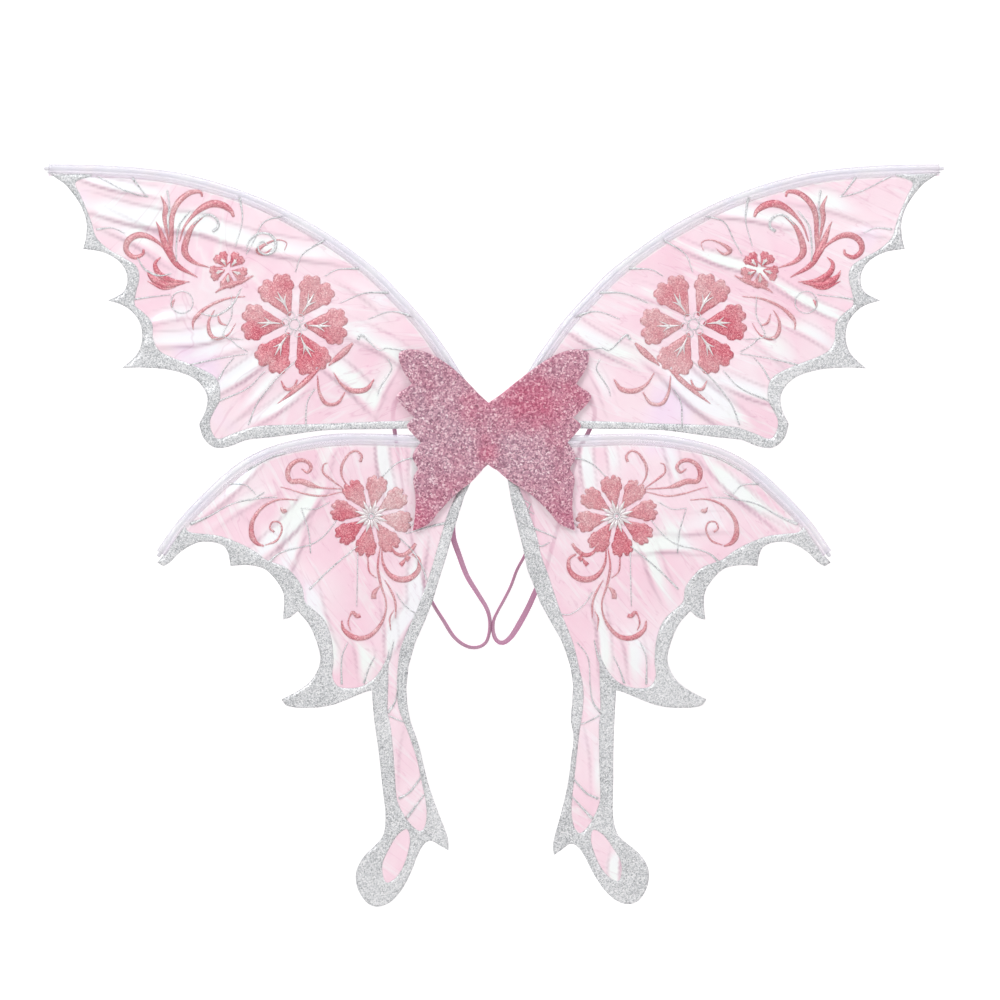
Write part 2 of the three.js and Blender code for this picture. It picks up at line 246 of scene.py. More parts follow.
def bandSection():  # rounded edges and a shallow rib down each quarter, as shares of width and thickness
    across = [-0.5, -0.46, -0.3, -0.15, 0, 0.15, 0.3, 0.46, 0.5]
    deep = [0.0, 0.42, 0.5, 0.43, 0.5, 0.43, 0.5, 0.42, 0.0]
    upper = list(zip(across, deep))
    lower = [(a, -d) for a, d in reversed(upper[1:-1])]
    return upper + lower


def makeStrap(word, route):
    line = curveThrough(route, strapSet["step"]) * mm
    run = lengths(line)
    share = run / run[-1]
    turn = np.radians(np.interp(share, *zip(*strapTurns[word])))
    along = np.gradient(line, axis=0)
    along /= np.linalg.norm(along, axis=1)[:, None]
    section = bandSection()
    verts, faces, weave = [], [], []
    for i, point in enumerate(line):
        flat = np.array([-along[i][2], 0, along[i][0]])  # lies in the plane of the wings
        edge = np.cross(along[i], flat)
        width = math.cos(turn[i]) * flat + math.sin(turn[i]) * edge
        thick = np.cross(along[i], width)
        for a, d in section:
            verts.append(point + width * a * strapSet["width"] + thick * d * strapSet["thickness"])
            weave.append((run[i] * 1000, a * strapSet["width"] * 1000))
    n = len(section)
    for i in range(len(line) - 1):
        for k in range(n):
            a, b = i * n + k, i * n + (k + 1) % n
            faces.append((a, b, b + n, a + n))
    faces.append(tuple(reversed(range(n))))
    faces.append(tuple(range((len(line) - 1) * n, len(line) * n)))
    strap = meshPiece(f"{word}_shoulder_loop", verts, faces, elastic)
    layer = strap.data.uv_layers.new(name="weave")
    for loop in strap.data.loops:
        layer.data[loop.index].uv = weave[loop.vertex_index]
    facesOutward(strap)
    bpy.ops.object.shade_smooth_by_angle(angle=math.radians(40))
    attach(strap, "spine")
    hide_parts(f"{word}_strap")


makeStrap("right", rightStrapRoute)
makeStrap("left", leftStrapRoute)
print("shoulder loops made")


# materials of the wings
# pearl coated film: see-through pink, with painted white highlights where a fold or crinkle turns to the
# light, and painted grey shade on the steep sides of the folds
def pearlFilmMaterial(name, pink, opacity):
    material = newMaterial(name)
    place = addNode(material, "ShaderNodeTexCoord", {})
    # reads each point's pearl tint and painted highlight share
    turn = addNode(material, "ShaderNodeAttribute", {"attribute_name": "pearlTintAndHighlight"})
    cloud = addNode(material, "ShaderNodeTexNoise", {"Scale": 9.0, "Detail": 3.0, "Roughness": 0.55},
                    {"Vector": place.outputs["Object"]})
    tint = addNode(material, "ShaderNodeValToRGB", {}, {"Fac": cloud.outputs["Fac"]})
    rampStops(tint, [(0.3, pink[0]), (0.47, pink[1]), (0.6, pink[2]), (0.72, pink[3])])
    crinkleMap = addNode(material, "ShaderNodeUVMap", {"uv_map": "crinkle"})
    crinkle = addNode(material, "ShaderNodeTexNoise",
                      {"Scale": 1.0, "Detail": 3.0, "Roughness": 0.5, "Distortion": 0.5},
                      {"Vector": crinkleMap.outputs["UV"]})
    # painted highlight: thin white streaks along the fine crinkles
    highlightStreaks = addNode(material, "ShaderNodeValToRGB", {}, {"Fac": crinkle.outputs["Fac"]})
    rampStops(highlightStreaks, [(0.0, "000000"), (0.53, "000000"), (0.58, "707070"), (0.61, "c8c8c8"),
                        (0.66, "202020"), (0.71, "000000")])
    # the painted highlight share, from the points and the streaks, whitens the pink tint
    highlightRamp = addNode(material, "ShaderNodeValToRGB", {}, {"Fac": turn.outputs["Fac"]})
    rampStops(highlightRamp, [(0.14, "000000"), (0.75, "ffffff")])
    highlightShare = addNode(material, "ShaderNodeMix", {"data_type": "RGBA", "blend_type": "ADD", "Factor": 0.75,
                                               "clamp_result": True},
                   {mixA: highlightRamp.outputs["Color"], mixB: highlightStreaks.outputs["Color"]})
    highlight = addNode(material, "ShaderNodeValToRGB", {}, {"Fac": cloud.outputs["Fac"]})
    rampStops(highlight, [(0.4, "fbfffb"), (0.62, "fdfbff")])
    blend = addNode(material, "ShaderNodeMix", {"data_type": "RGBA"},
                    {0: highlightShare.outputs[mixed], mixA: tint.outputs["Color"], mixB: highlight.outputs["Color"]})
    # painted shade: grey along the steep side of each fold, and a thin grey line at the foot of each
    # painted crinkle streak
    edge = addNode(material, "ShaderNodeAttribute", {"attribute_name": "foldShade"})
    foldShadeRamp = addNode(material, "ShaderNodeValToRGB", {}, {"Fac": edge.outputs["Fac"]})
    rampStops(foldShadeRamp, [(0.1, "ffffff"), (0.9, "d3c3cb")])
    crinkleShadeLine = addNode(material, "ShaderNodeValToRGB", {}, {"Fac": crinkle.outputs["Fac"]})
    rampStops(crinkleShadeLine, [(0.52, "ffffff"), (0.53, "f3e6ec"), (0.54, "ffffff")])
    paintedShades = addNode(material, "ShaderNodeMix",
                    {"data_type": "RGBA", "blend_type": "MULTIPLY", "Factor": 1.0},
                    {mixA: foldShadeRamp.outputs["Color"], mixB: crinkleShadeLine.outputs["Color"]})
    withPaintedShade = addNode(material, "ShaderNodeMix",
                      {"data_type": "RGBA", "blend_type": "MULTIPLY", "Factor": 1.0},
                      {mixA: blend.outputs[mixed], mixB: paintedShades.outputs[mixed]})
    bump = addNode(material, "ShaderNodeBump", {"Strength": 0.5, "Distance": 0.0012},
                   {"Height": crinkle.outputs["Fac"]})
    shader = addNode(material, "ShaderNodeBsdfPrincipled",
                     {"Roughness": 0.2, "IOR": 1.49, "Alpha": opacity, "Coat Weight": 0.4,
                      "Coat Roughness": 0.08, "Thin Film Thickness": 380.0, "Thin Film IOR": 1.6},
                     {"Base Color": withPaintedShade.outputs[mixed], "Normal": bump.outputs["Normal"]})
    addNode(material, "ShaderNodeOutputMaterial", {}, {"Surface": shader.outputs[0]})
    return material


# flakes in clear binder: each cell one flake, its brightness from dark to bright a painted glint
def glitterMaterial(name, stops, flakes, roughness=0.35, metallic=0.35):
    material = newMaterial(name)
    place = addNode(material, "ShaderNodeTexCoord", {})
    cells = addNode(material, "ShaderNodeTexVoronoi", {"Scale": 1 / flakes, "Randomness": 1.0},
                    {"Vector": place.outputs["Object"]})
    split = addNode(material, "ShaderNodeSeparateColor", {}, {"Color": cells.outputs["Color"]})
    drift = addNode(material, "ShaderNodeTexNoise", {"Scale": 28.0, "Detail": 2.0},
                    {"Vector": place.outputs["Object"]})
    level = addNode(material, "ShaderNodeMath", {"operation": "MULTIPLY_ADD", 1: 0.5, 2: -0.25},
                    {0: drift.outputs["Fac"]})
    total = addNode(material, "ShaderNodeMath", {"operation": "ADD"},
                    {0: split.outputs[0], 1: level.outputs[0]})
    ramp = addNode(material, "ShaderNodeValToRGB", {}, {"Fac": total.outputs[0]})
    rampStops(ramp, stops)
    bump = addNode(material, "ShaderNodeBump", {"Strength": 0.9, "Distance": flakes * 0.4},
                   {"Height": split.outputs[1]})
    shader = addNode(material, "ShaderNodeBsdfPrincipled", {"Roughness": roughness, "Metallic": metallic},
                     {"Base Color": ramp.outputs["Color"], "Normal": bump.outputs["Normal"]})
    addNode(material, "ShaderNodeOutputMaterial", {}, {"Surface": shader.outputs[0]})
    return material


# glitter whose colour runs from pale to deep by a tone on the mesh
def twoToneGlitter(name, tone, pale, deep, flakes):
    material = newMaterial(name)
    place = addNode(material, "ShaderNodeTexCoord", {})
    warp = addNode(material, "ShaderNodeTexNoise", {"Scale": 0.55 / flakes, "Detail": 1.0},
                   {"Vector": place.outputs["Object"]})
    spread = addNode(material, "ShaderNodeVectorMath", {"operation": "SCALE", "Scale": flakes * 2.2},
                     {"Vector": warp.outputs["Color"]})
    moved = addNode(material, "ShaderNodeVectorMath", {"operation": "ADD"},
                    {0: place.outputs["Object"], 1: spread.outputs[0]})
    cells = addNode(material, "ShaderNodeTexVoronoi", {"Scale": 1 / flakes}, {"Vector": moved.outputs[0]})
    split = addNode(material, "ShaderNodeSeparateColor", {}, {"Color": cells.outputs["Color"]})
    # each flake's place on the ramps is a painted glint, dark to bright
    paleRamp = addNode(material, "ShaderNodeValToRGB", {}, {"Fac": split.outputs[0]})
    rampStops(paleRamp, pale)
    deepRamp = addNode(material, "ShaderNodeValToRGB", {}, {"Fac": split.outputs[0]})
    rampStops(deepRamp, deep)
    shade = addNode(material, "ShaderNodeAttribute", {"attribute_name": tone})
    patches = addNode(material, "ShaderNodeTexNoise", {"Scale": 70.0, "Detail": 3.0},
                      {"Vector": place.outputs["Object"]})
    loosen = addNode(material, "ShaderNodeMath", {"operation": "MULTIPLY_ADD", 1: 0.9, 2: -0.45},
                     {0: patches.outputs["Fac"]})
    level = addNode(material, "ShaderNodeMath", {"operation": "ADD", "use_clamp": True},
                    {0: shade.outputs["Fac"], 1: loosen.outputs[0]})
    blend = addNode(material, "ShaderNodeMix", {"data_type": "RGBA"},
                    {0: level.outputs[0], mixA: paleRamp.outputs["Color"],
                     mixB: deepRamp.outputs["Color"]})
    bump = addNode(material, "ShaderNodeBump", {"Strength": 0.7, "Distance": flakes * 0.35},
                   {"Height": split.outputs[1]})
    shader = addNode(material, "ShaderNodeBsdfPrincipled", {"Roughness": 0.38, "Metallic": 0.12},
                     {"Base Color": blend.outputs[mixed], "Normal": bump.outputs["Normal"]})
    addNode(material, "ShaderNodeOutputMaterial", {}, {"Surface": shader.outputs[0]})
    return material


def sleeveFilmMaterial():  # clear pearl sleeve: near white, with painted shade in a grey line where it turns at its fold, a painted highlight band just inside that, and a grey line along its weld
    material = newMaterial("foldedCasingFilm")
    place = addNode(material, "ShaderNodeTexCoord", {})
    run = addNode(material, "ShaderNodeUVMap", {"uv_map": "sleeve"})
    split = addNode(material, "ShaderNodeSeparateXYZ", {}, {"Vector": run.outputs["UV"]})
    # round the sleeve: painted shade at the fold edge (0.0), painted highlight band (0.3), and the weld
    # line (0.69)
    around = addNode(material, "ShaderNodeValToRGB", {}, {"Fac": split.outputs["Y"]})
    rampStops(around, [(0.0, "cdc9d6"), (0.08, "f4f1fa"), (0.3, "fffeff"), (0.5, "fbf8fe"),
                       (0.64, "f8f0f8"), (0.69, "cfc7d2"), (0.74, "faf2f8"), (1.0, "fce8f0")])
    cloud = addNode(material, "ShaderNodeTexNoise", {"Scale": 26.0, "Detail": 2.0},
                    {"Vector": place.outputs["Object"]})
    pearlTintAndHighlight = addNode(material, "ShaderNodeValToRGB", {}, {"Fac": cloud.outputs["Fac"]})
    rampStops(pearlTintAndHighlight, [(0.35, "ffffff"), (0.5, "faf8ff"), (0.65, "fffafc")])
    blend = addNode(material, "ShaderNodeMix",
                    {"data_type": "RGBA", "blend_type": "MULTIPLY", "Factor": 1.0},
                    {mixA: around.outputs["Color"], mixB: pearlTintAndHighlight.outputs["Color"]})
    bump = addNode(material, "ShaderNodeBump", {"Strength": 0.2, "Distance": 0.0008},
                   {"Height": cloud.outputs["Fac"]})
    shader = addNode(material, "ShaderNodeBsdfPrincipled",
                     {"Roughness": 0.16, "IOR": 1.49, "Alpha": 0.28, "Coat Weight": 0.4,
                      "Coat Roughness": 0.06},
                     {"Base Color": blend.outputs[mixed], "Normal": bump.outputs["Normal"]})
    addNode(material, "ShaderNodeOutputMaterial", {}, {"Surface": shader.outputs[0]})
    return material


film = pearlFilmMaterial("pearlCoatedFilm", ["fdcedf", "fedae7", "ffe6ee", "fbe1f6"], 0.59)
casingFilm = sleeveFilmMaterial()
silverGlitter = glitterMaterial("printedSilverGlitter",
                                [(0.0, "a9abae"), (0.25, "ced0d2"), (0.6, "e6e7e9"), (0.85, "fcfcfd")],
                                0.9 * mm, 0.35, 0.2)
roseGlitter = twoToneGlitter("printedRoseGlitter", "blush",
                             [(0.0, "cfa6aa"), (0.35, "e2b8bb"), (0.75, "efd0d1"), (1.0, "fbeceb")],
                             [(0.0, "b94a60"), (0.35, "d66578"), (0.75, "e5848f"), (1.0, "f6b6bc")],
                             0.8 * mm)
pearlInk = glitterMaterial("printedPearlInk", [(0.0, "f0e4e6"), (1.0, "fffafa")], 0.7 * mm)
# the foam's pale ramp is greyed as painted reflection, its deep ramp is painted shade; the tone on the
# mesh picks between them
foamGlitter = twoToneGlitter("glitterFoamSheet", "tone",
                             [(0.0, "8c6577"), (0.3, "b5879a"), (0.6, "cf9fb0"), (0.85, "e6bfcb"),
                              (1.0, "f8e2e8")],
                             [(0.0, "a34a66"), (0.3, "c4627f"), (0.6, "d07690"), (0.85, "e49bae"),
                              (1.0, "f4c3ce")],
                             1.4 * mm)


# outlines taken from the frame
def frontOutline(node):  # the edge of a flat node's front face, as a ring of (x, z) in mm
    mesh = nodes[node].data
    places, order = {}, []
    for vertex in mesh.vertices:
        key = tuple(round(c * 1e5) for c in vertex.co)
        places.setdefault(key, len(places))
        order.append(places[key])
    front = min(key[1] for key in places)
    byIndex = {index: key for key, index in places.items()}
    used = {}
    for polygon in mesh.polygons:
        ring = [order[v] for v in polygon.vertices]
        if any(byIndex[v][1] > front + 2 for v in ring):
            continue
        for a, b in zip(ring, ring[1:] + ring[:1]):
            used[(a, b)] = True
    follow = {a: b for a, b in used if (b, a) not in used}
    start = next(iter(follow))
    ring, at = [start], follow[start]
    while at != start:
        ring.append(at)
        at = follow[at]
    return np.array([(byIndex[i][0] / 100, byIndex[i][2] / 100) for i in ring])


def roundedRing(ring, corner, step):  # smooth between the corners sharper than the given angle
    keep = []
    for i in range(len(ring)):
        a, b = ring[i] - ring[i - 1], ring[(i + 1) % len(ring)] - ring[i]
        angle = abs(math.degrees(math.atan2(a[0] * b[1] - a[1] * b[0], a @ b)))
        if angle > corner:
            keep.append(i)
    keep = keep or [0]
    out = []
    for k, start in enumerate(keep):
        end = keep[(k + 1) % len(keep)]
        end = end if end > start else end + len(ring)
        run = np.array([ring[i % len(ring)] for i in range(start, end + 1)])
        out.extend(curveThrough(run, step)[:-1] if len(run) > 2 else evenLine(run, step)[:-1])
    return np.array(out)


def evenLine(ends, step):
    count = max(1, int(round(np.linalg.norm(ends[-1] - ends[0]) / step)))
    return np.array([ends[0] + (ends[-1] - ends[0]) * k / count for k in range(count + 1)])


def insideRing(points, ring):
    x, z = points[:, 0], points[:, 1]
    hit = np.zeros(len(points), bool)
    for (ax, az), (bx, bz) in zip(ring, np.roll(ring, -1, axis=0)):
        crosses = (az > z) != (bz > z)
        hit ^= crosses & (x < (bx - ax) * (z - az) / ((bz - az) if bz != az else 1e-9) + ax)
    return hit


def fillRing(ring, windows, spacing):  # even triangles inside a ring, clear of its windows
    lines = [ring] + windows
    points, edges = [], []
    for line in lines:
        first = len(points)
        points.extend(tuple(p) for p in line)
        edges.extend((first + i, first + (i + 1) % len(line)) for i in range(len(line)))
    tree = kdtree.KDTree(len(points))
    for i, p in enumerate(points):
        tree.insert((p[0], p[1], 0), i)
    tree.balance()
    low, high = ring.min(0), ring.max(0)
    rows = int((high[1] - low[1]) / (spacing * 0.866)) + 2
    grid = []
    for r in range(rows):
        shift = spacing / 2 if r % 2 else 0
        z = low[1] + r * spacing * 0.866
        grid.extend((x + shift, z) for x in np.arange(low[0], high[0] + spacing, spacing))
    grid = np.array(grid)
    grid = grid[insideRing(grid, ring)]
    for window in windows:
        grid = grid[~insideRing(grid, window)]
    grid = [p for p in grid if tree.find((p[0], p[1], 0))[2] > spacing * 0.55]
    flat = [Vector(p) for p in points] + [Vector(p) for p in grid]
    verts, _, faces, *_ = delaunay_2d_cdt(flat, edges, [], 1, 1e-5)
    verts = np.array([tuple(v) for v in verts])
    centres = np.array([verts[list(f)].mean(0) for f in faces])
    keep = insideRing(centres, ring)
    for window in windows:
        keep &= ~insideRing(centres, window)
    faces = [f for f, k in zip(faces, keep) if k]
    used = sorted({i for f in faces for i in f})
    renamed = {old: new for new, old in enumerate(used)}
    turned = []
    for f in faces:
        a, b, c = (verts[i] for i in f[:3])
        ccw = (b[0] - a[0]) * (c[1] - a[1]) - (b[1] - a[1]) * (c[0] - a[0]) > 0
        turned.append(tuple(renamed[i] for i in (f if ccw else reversed(f))))
    return verts[used], turned


# how the film wrinkles: each fold is from, to, width, rise (mm) and how strong the painted white
# highlight on its lit side is
folds = {
    "right_upper": [
        (185, 186, 262, 160, 5, 2.6, 1.0), (262, 160, 352, 110, 5, 2.4, 0.9),
        (200, 219, 290, 207, 8, 1.9, 1.0), (66, 110, 135, 70, 8, 2.2, 1.0),
        (168, 60, 232, 6, 12, 3.0, 1.2), (190, 54, 246, 12, 6, 1.8, 0.3), (232, 48, 278, 30, 7, 2.0, 1.0),
        (292, 107, 340, 80, 6, 1.8, 0.7), (296, 232, 372, 212, 9, 1.8, 0.6),
        (298, 257, 372, 259, 5, 1.4, 0.7), (118, 158, 170, 200, 6, 1.2, 0.4),
        (96, 62, 112, 24, 6, 1.6, 0.6), (250, 98, 300, 60, 9, 1.6, 0.5),
        (128, 142, 176, 126, 7, 1.5, 0.5), (352, 200, 398, 196, 6, 1.2, 0.5),
    ],
    "right_lower": [
        (88, -4, 90, -48, 6, 2.2, 1.1), (110, -6, 116, -42, 5, 1.6, 0.6),
        (168, -8, 178, -48, 6, 1.5, 0.8), (198, -16, 282, -94, 6, 2.4, 0.8),
        (226, -58, 298, -96, 7, 1.8, 0.5), (146, -118, 200, -118, 8, 1.7, 0.9),
        (150, -120, 166, -160, 8, 2.0, 0.9), (98, -166, 106, -236, 6, 1.8, 1.0),
        (130, -204, 136, -240, 9, 1.8, 0.8), (186, -100, 236, -96, 9, 1.5, 0.5),
        (52, -92, 62, -130, 7, 1.6, 0.3), (60, -20, 58, -60, 7, 1.5, 0.8),
        (92, -290, 99, -352, 8, 1.4, 0.6), (126, -418, 124, -444, 5, 1.5, 1.0),
        (230, -24, 302, -82, 4, 1.3, 0.6),
    ],
    "left_upper": [
        (420, 257, 342, 238, 5, 2.0, 1.0), (400, 222, 296, 202, 9, 2.6, 1.2),
        (296, 202, 160, 172, 9, 2.2, 1.0), (388, 205, 330, 172, 9, 1.8, 0.9),
        (344, 88, 268, 96, 7, 2.0, 0.9), (352, 106, 300, 117, 6, 1.7, 0.5),
        (280, 38, 226, 74, 7, 2.4, 1.0), (262, 12, 212, 62, 6, 2.0, 0.6), (240, 8, 190, 42, 6, 2.0, 0.9),
        (150, 100, 84, 64, 9, 1.9, 0.7), (250, 234, 180, 198, 7, 1.7, 0.9),
        (130, 30, 170, 66, 9, 1.8, 1.1), (110, 120, 150, 150, 8, 1.6, 0.6),
        (290, 72, 240, 88, 7, 1.4, 0.5), (98, 62, 118, 20, 6, 1.6, 0.6),
    ],
    "left_lower": [
        (233, -126, 172, -62, 8, 2.6, 1.2), (207, -140, 190, -98, 8, 2.0, 0.9),
        (117, -4, 109, -60, 6, 2.3, 1.2), (68, -112, 72, -172, 7, 1.9, 1.1),
        (72, -172, 94, -206, 7, 1.8, 1.0), (192, -148, 166, -230, 8, 2.1, 1.0),
        (298, -88, 230, -28, 5, 2.0, 0.8), (276, -92, 220, -60, 6, 1.6, 0.5),
        (86, -10, 84, -44, 6, 1.6, 0.7), (140, -204, 134, -240, 8, 1.6, 0.6),
        (112, -168, 108, -232, 6, 1.5, 0.7), (158, -12, 166, -46, 7, 1.5, 0.5),
        (92, -290, 98, -352, 8, 1.4, 0.5), (126, -418, 124, -444, 5, 1.5, 0.9),
        (254, -74, 232, -104, 8, 1.6, 0.3),
    ],
}
wireLines = {
    "upper": [(13, 21), (39, 62), (51.6, 82), (72.5, 110.5), (95.7, 136), (122.3, 162.5), (167, 195.5),
              (211.7, 221), (249.3, 237.4), (287, 249.4), (322, 257.5), (362, 262), (408, 264.2),
              (446.6, 264.8)],
    "lower": [(14, -5.5), (45, -6), (77, -5.6), (148, -4), (190, -8.8), (226, -18.5), (255, -34.5),
              (286, -61.5), (313.5, -91), (334, -120.5)],
}
steepSide = 2.3  # a fold falls away this many times faster on its lower side


def distanceToLine(points, line):
    best = np.full(len(points), 1e9)
    for a, b in zip(line[:-1], line[1:]):
        d = b - a
        t = np.clip(((points - a) @ d) / (d @ d), 0, 1)
        best = np.minimum(best, np.linalg.norm(points - a - t[:, None] * d, axis=1))
    return best


# rise to the display side, pearl tint with painted highlights, and painted fold shade, at (x, z) on the
# right-hand drawing
def filmShape(wing, points):
    points = np.asarray(points, float)
    x, z = points[:, 0], points[:, 1]
    rise = 0.55 * np.sin(0.075 * x + 0.052 * z + len(wing)) + 0.4 * np.sin(0.031 * x - 0.097 * z + 1.3)
    rise += 0.22 * np.sin(0.21 * x + 0.13 * z)
    pearlTintAndHighlight = 0.16 * np.sin(0.045 * x - 0.06 * z + 0.7) + 0.1 * np.sin(0.13 * x + 0.09 * z)
    edge = np.zeros(len(x))
    for ax, az, bx, bz, width, height, highlight in folds[wing]:
        d = np.array([bx - ax, bz - az], float)
        reach = np.linalg.norm(d)
        d /= reach
        along = (x - ax) * d[0] + (z - az) * d[1]
        aside = (x - ax) * d[1] - (z - az) * d[0]
        aside = aside if d[0] > 0 else -aside  # positive below the fold
        arch = np.sin(np.pi * np.clip(along / reach, 0, 1))
        bend = 0.035 * reach * arch * (1 if height > 1.9 else -1)
        aside = aside - bend
        beyond = np.maximum(np.maximum(-along, along - reach), 0)
        share = np.exp(-(beyond / (2.2 * width)) ** 2) * (0.55 + 0.45 * arch)
        u = np.where(aside > 0, aside * steepSide, aside) / width
        rise += height * share * np.exp(-u * u)
        # painted highlight: a white band on the gentle upper side of each fold, where it faces the light
        v = aside + 0.5 * width
        v = np.where(v > 0, v / (0.45 * width), v / (1.5 * width))
        pearlTintAndHighlight += highlight * share * np.exp(-v * v)
        # painted shade: grey lines on the steep lower side of each fold and well above it
        fine = max(0.2 * width, 1.5)
        edge += highlight * share * (np.exp(-((aside - 0.35 * width) / fine) ** 2)
                                 + 0.6 * np.exp(-((aside + 2.1 * width) / fine) ** 2))
    word, level = wing.split("_")
    wire = curveThrough(wireLines[level], 8)
    away = distanceToLine(points, wire)
    calm = smoothstep(3, 16, away) * (0.45 + 0.55 * smoothstep(60, 130, np.hypot(x, z)))
    # doubled film shows white under the sleeve
    pearlTintAndHighlight = np.maximum(pearlTintAndHighlight, 0.85 * (1 - smoothstep(6, 10, away)))
    return rise * calm, np.clip(pearlTintAndHighlight, 0, 1), np.clip(edge, 0, 1)


# the films, cut from the frame's own outlines
filmSet = {"spacing": 3.0, "corner": 38, "thickness": 0.2 * mm}
# which way the fine creases run, and how far that swings over 200 mm of height, in degrees
crinkleTurn = {"right_upper": -24, "right_lower": -58, "left_upper": 2, "left_lower": 56}
crinkleSpread = {"right_upper": 0, "right_lower": -10, "left_upper": 34, "left_lower": 10}
tailRoot = np.array([100.0, -275.0])
# the prints are drawn for the right tail; the left one swings in
tailTurn = {"right": 0.0, "left": -0.10}


def placeOn(wing, flat, lift):  # (x, z) of the right-hand drawing in mm, to places on the film in metres
    word, level = wing.split("_")
    flat = np.asarray(flat, float)
    rise = filmShape(wing, flat)[0]
    out = np.empty((len(flat), 3))
    out[:, 0] = flat[:, 0] * sides[word] * mm
    out[:, 1] = filmY - (rise + lift) * mm
    out[:, 2] = flat[:, 1] * mm
    return out


def facesFor(word, faces):  # the mirrored side turns its faces round
    return faces if word == "right" else [tuple(reversed(f)) for f in faces]


# where the inner edge of each lower wing lies, (height, distance out) in mm; one side is pulled in
innerEdge = {
    "right": [(-330, 82), (-300, 79), (-286, 76.5), (-267, 78), (-251, 79), (-233, 76.3), (-220, 72.4),
              (-205.7, 67), (-190, 58), (-168, 46), (-150.7, 39.4), (-136, 33.4), (-112, 28.4),
              (-88, 22.4), (-66, 17), (-45, 13.5), (-21, 11.6)],
    "left": [(-330, 73), (-300, 79), (-286, 83.5), (-270, 86.5), (-253, 87.5), (-231, 85), (-209, 78.7),
             (-187, 69), (-168, 61.6), (-143, 54), (-121, 47), (-99, 41), (-62, 29.4), (-45, 21.5),
             (-21, 11.6)],
}


def drawnRing(wing):
    word, level = wing.split("_")
    ring = frontOutline(f"{wing}_film")
    if word == "left":
        ring = ring[::-1] * (-1, 1)
    ring = roundedRing(ring, filmSet["corner"], 3.0)
    if level == "upper":
        past = np.clip(ring[:, 0] - 428, 0, None)
        ring[:, 0] += past * 0.8
        ring[:, 1] += past * 0.16
    if level == "lower":
        heights, places = zip(*innerEdge[word])
        inner = (ring[:, 0] < 89) & (ring[:, 1] < -21) & (ring[:, 1] > -318)
        share = smoothstep(-318, -290, ring[:, 1])
        target = np.interp(ring[:, 1], heights, places)
        ring[:, 0] = np.where(inner, ring[:, 0] + share * (target - ring[:, 0]), ring[:, 0])
    return ring


wingRings = {f"{word}_{level}": None for word in sides for level in ("upper", "lower")}
for wing in wingRings:
    ring = drawnRing(wing)
    wingRings[wing] = ring
    flat, faces = fillRing(ring, [], filmSet["spacing"])
    verts = placeOn(wing, flat, 0)
    word = wing.split("_")[0]
    panel = meshPiece(f"{wing}_wing_film", verts, facesFor(word, faces), film)
    rise, pearlTintAndHighlight, edge = filmShape(wing, flat)
    # the film's pearl tint with painted highlights, and its painted fold shade, kept on its points for
    # the material
    pointValues(panel, "pearlTintAndHighlight", pearlTintAndHighlight)
    pointValues(panel, "foldShade", edge)
    crinkles = panel.data.uv_layers.new(name="crinkle")
    lean = np.radians(crinkleTurn[wing] + crinkleSpread[wing] * (flat[:, 1] - flat[:, 1].mean()) / 200)
    across = flat[:, 1] * np.cos(lean) - flat[:, 0] * np.sin(lean)
    along = flat[:, 0] * np.cos(lean) + flat[:, 1] * np.sin(lean)
    places = np.stack([along / 95 + len(wing), across / 11], axis=1)
    corners = [loop.vertex_index for loop in panel.data.loops]
    crinkles.data.foreach_set("uv", places[corners].astype(np.float32).ravel())
    applyModifier(panel, "SOLIDIFY", thickness=filmSet["thickness"], offset=0.0)
    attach(panel, f"{word}_wing")
    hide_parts(f"{wing}_film")
    size = np.ptp(ring, axis=0) * mm
    shape = np.roll(ring, -1, axis=0)
    area = 0.5 * abs(float(np.sum(ring[:, 0] * shape[:, 1] - shape[:, 0] * ring[:, 1]))) * mm * mm
    wide, long = float(size[0]) * 1.01, float(size[1]) * 1.01
    if area < 0.3 * wide * long:
        long = area / 0.32 / wide
    print(wing, "film", len(faces), "faces, flat", round(wide, 3), round(long, 3), "area", round(area, 4))


# windows in the silver border, for the right-hand side in mm; they run past the wire edge and the hub
upperWindow = [
    (401.3, 257.3), (417.6, 251), (412.8, 238.5), (406.1, 223.2), (401.3, 209.8), (396.5, 195.5),
    (384.1, 184), (368.8, 175.4), (357.3, 167.7), (353.9, 156.3), (357.3, 141), (358.3, 128.5),
    (349.7, 120.9), (341.1, 110.3), (340.1, 95), (334.4, 83.6), (322, 76.5), (299.9, 68.2), (280.8, 58.7),
    (274.1, 49.1), (273.5, 34), (278.5, 24), (283.3, 13), (281.4, 1.6), (274.7, -5), (257.5, 1.5),
    (236.4, 7.5), (207.7, 9), (159.9, 10.5), (108.3, 12.5), (60, 13.5), (20, 14),
]
upperBeyond = [(10, 20), (0, 120), (120, 260), (330, 300), (395, 285)]
lowerWindow = [
    (309, -92), (304, -98), (290.9, -99.7), (274.6, -101.7), (260.3, -106.5), (248, -112), (237.8, -118),
    (226.6, -126), (209.3, -132.5), (199, -141.5), (190.8, -153.8), (188.8, -167), (180.7, -175),
    (170.5, -184.4), (164.4, -196.6), (161.3, -210.9), (160.3, -227.2), (161.3, -241.5), (156.2, -251.7),
    (144, -253.8), (131.7, -251.7), (121.5, -245.6), (113.3, -236), (107.2, -224), (104.6, -214),
]
tailWindow = [  # down the outer side, round the end, and back up the inner side
    (105.2, -226), (105.6, -250.9), (106.2, -275.8), (104.8, -292.3), (104.8, -317.2), (105.6, -342.1),
    (105.6, -366), (99, -383.5), (92.3, -393.5), (85.7, -398.5), (80.7, -394), (77.6, -381), (77.8, -365),
    (80, -345.4), (82.2, -325.5),
]
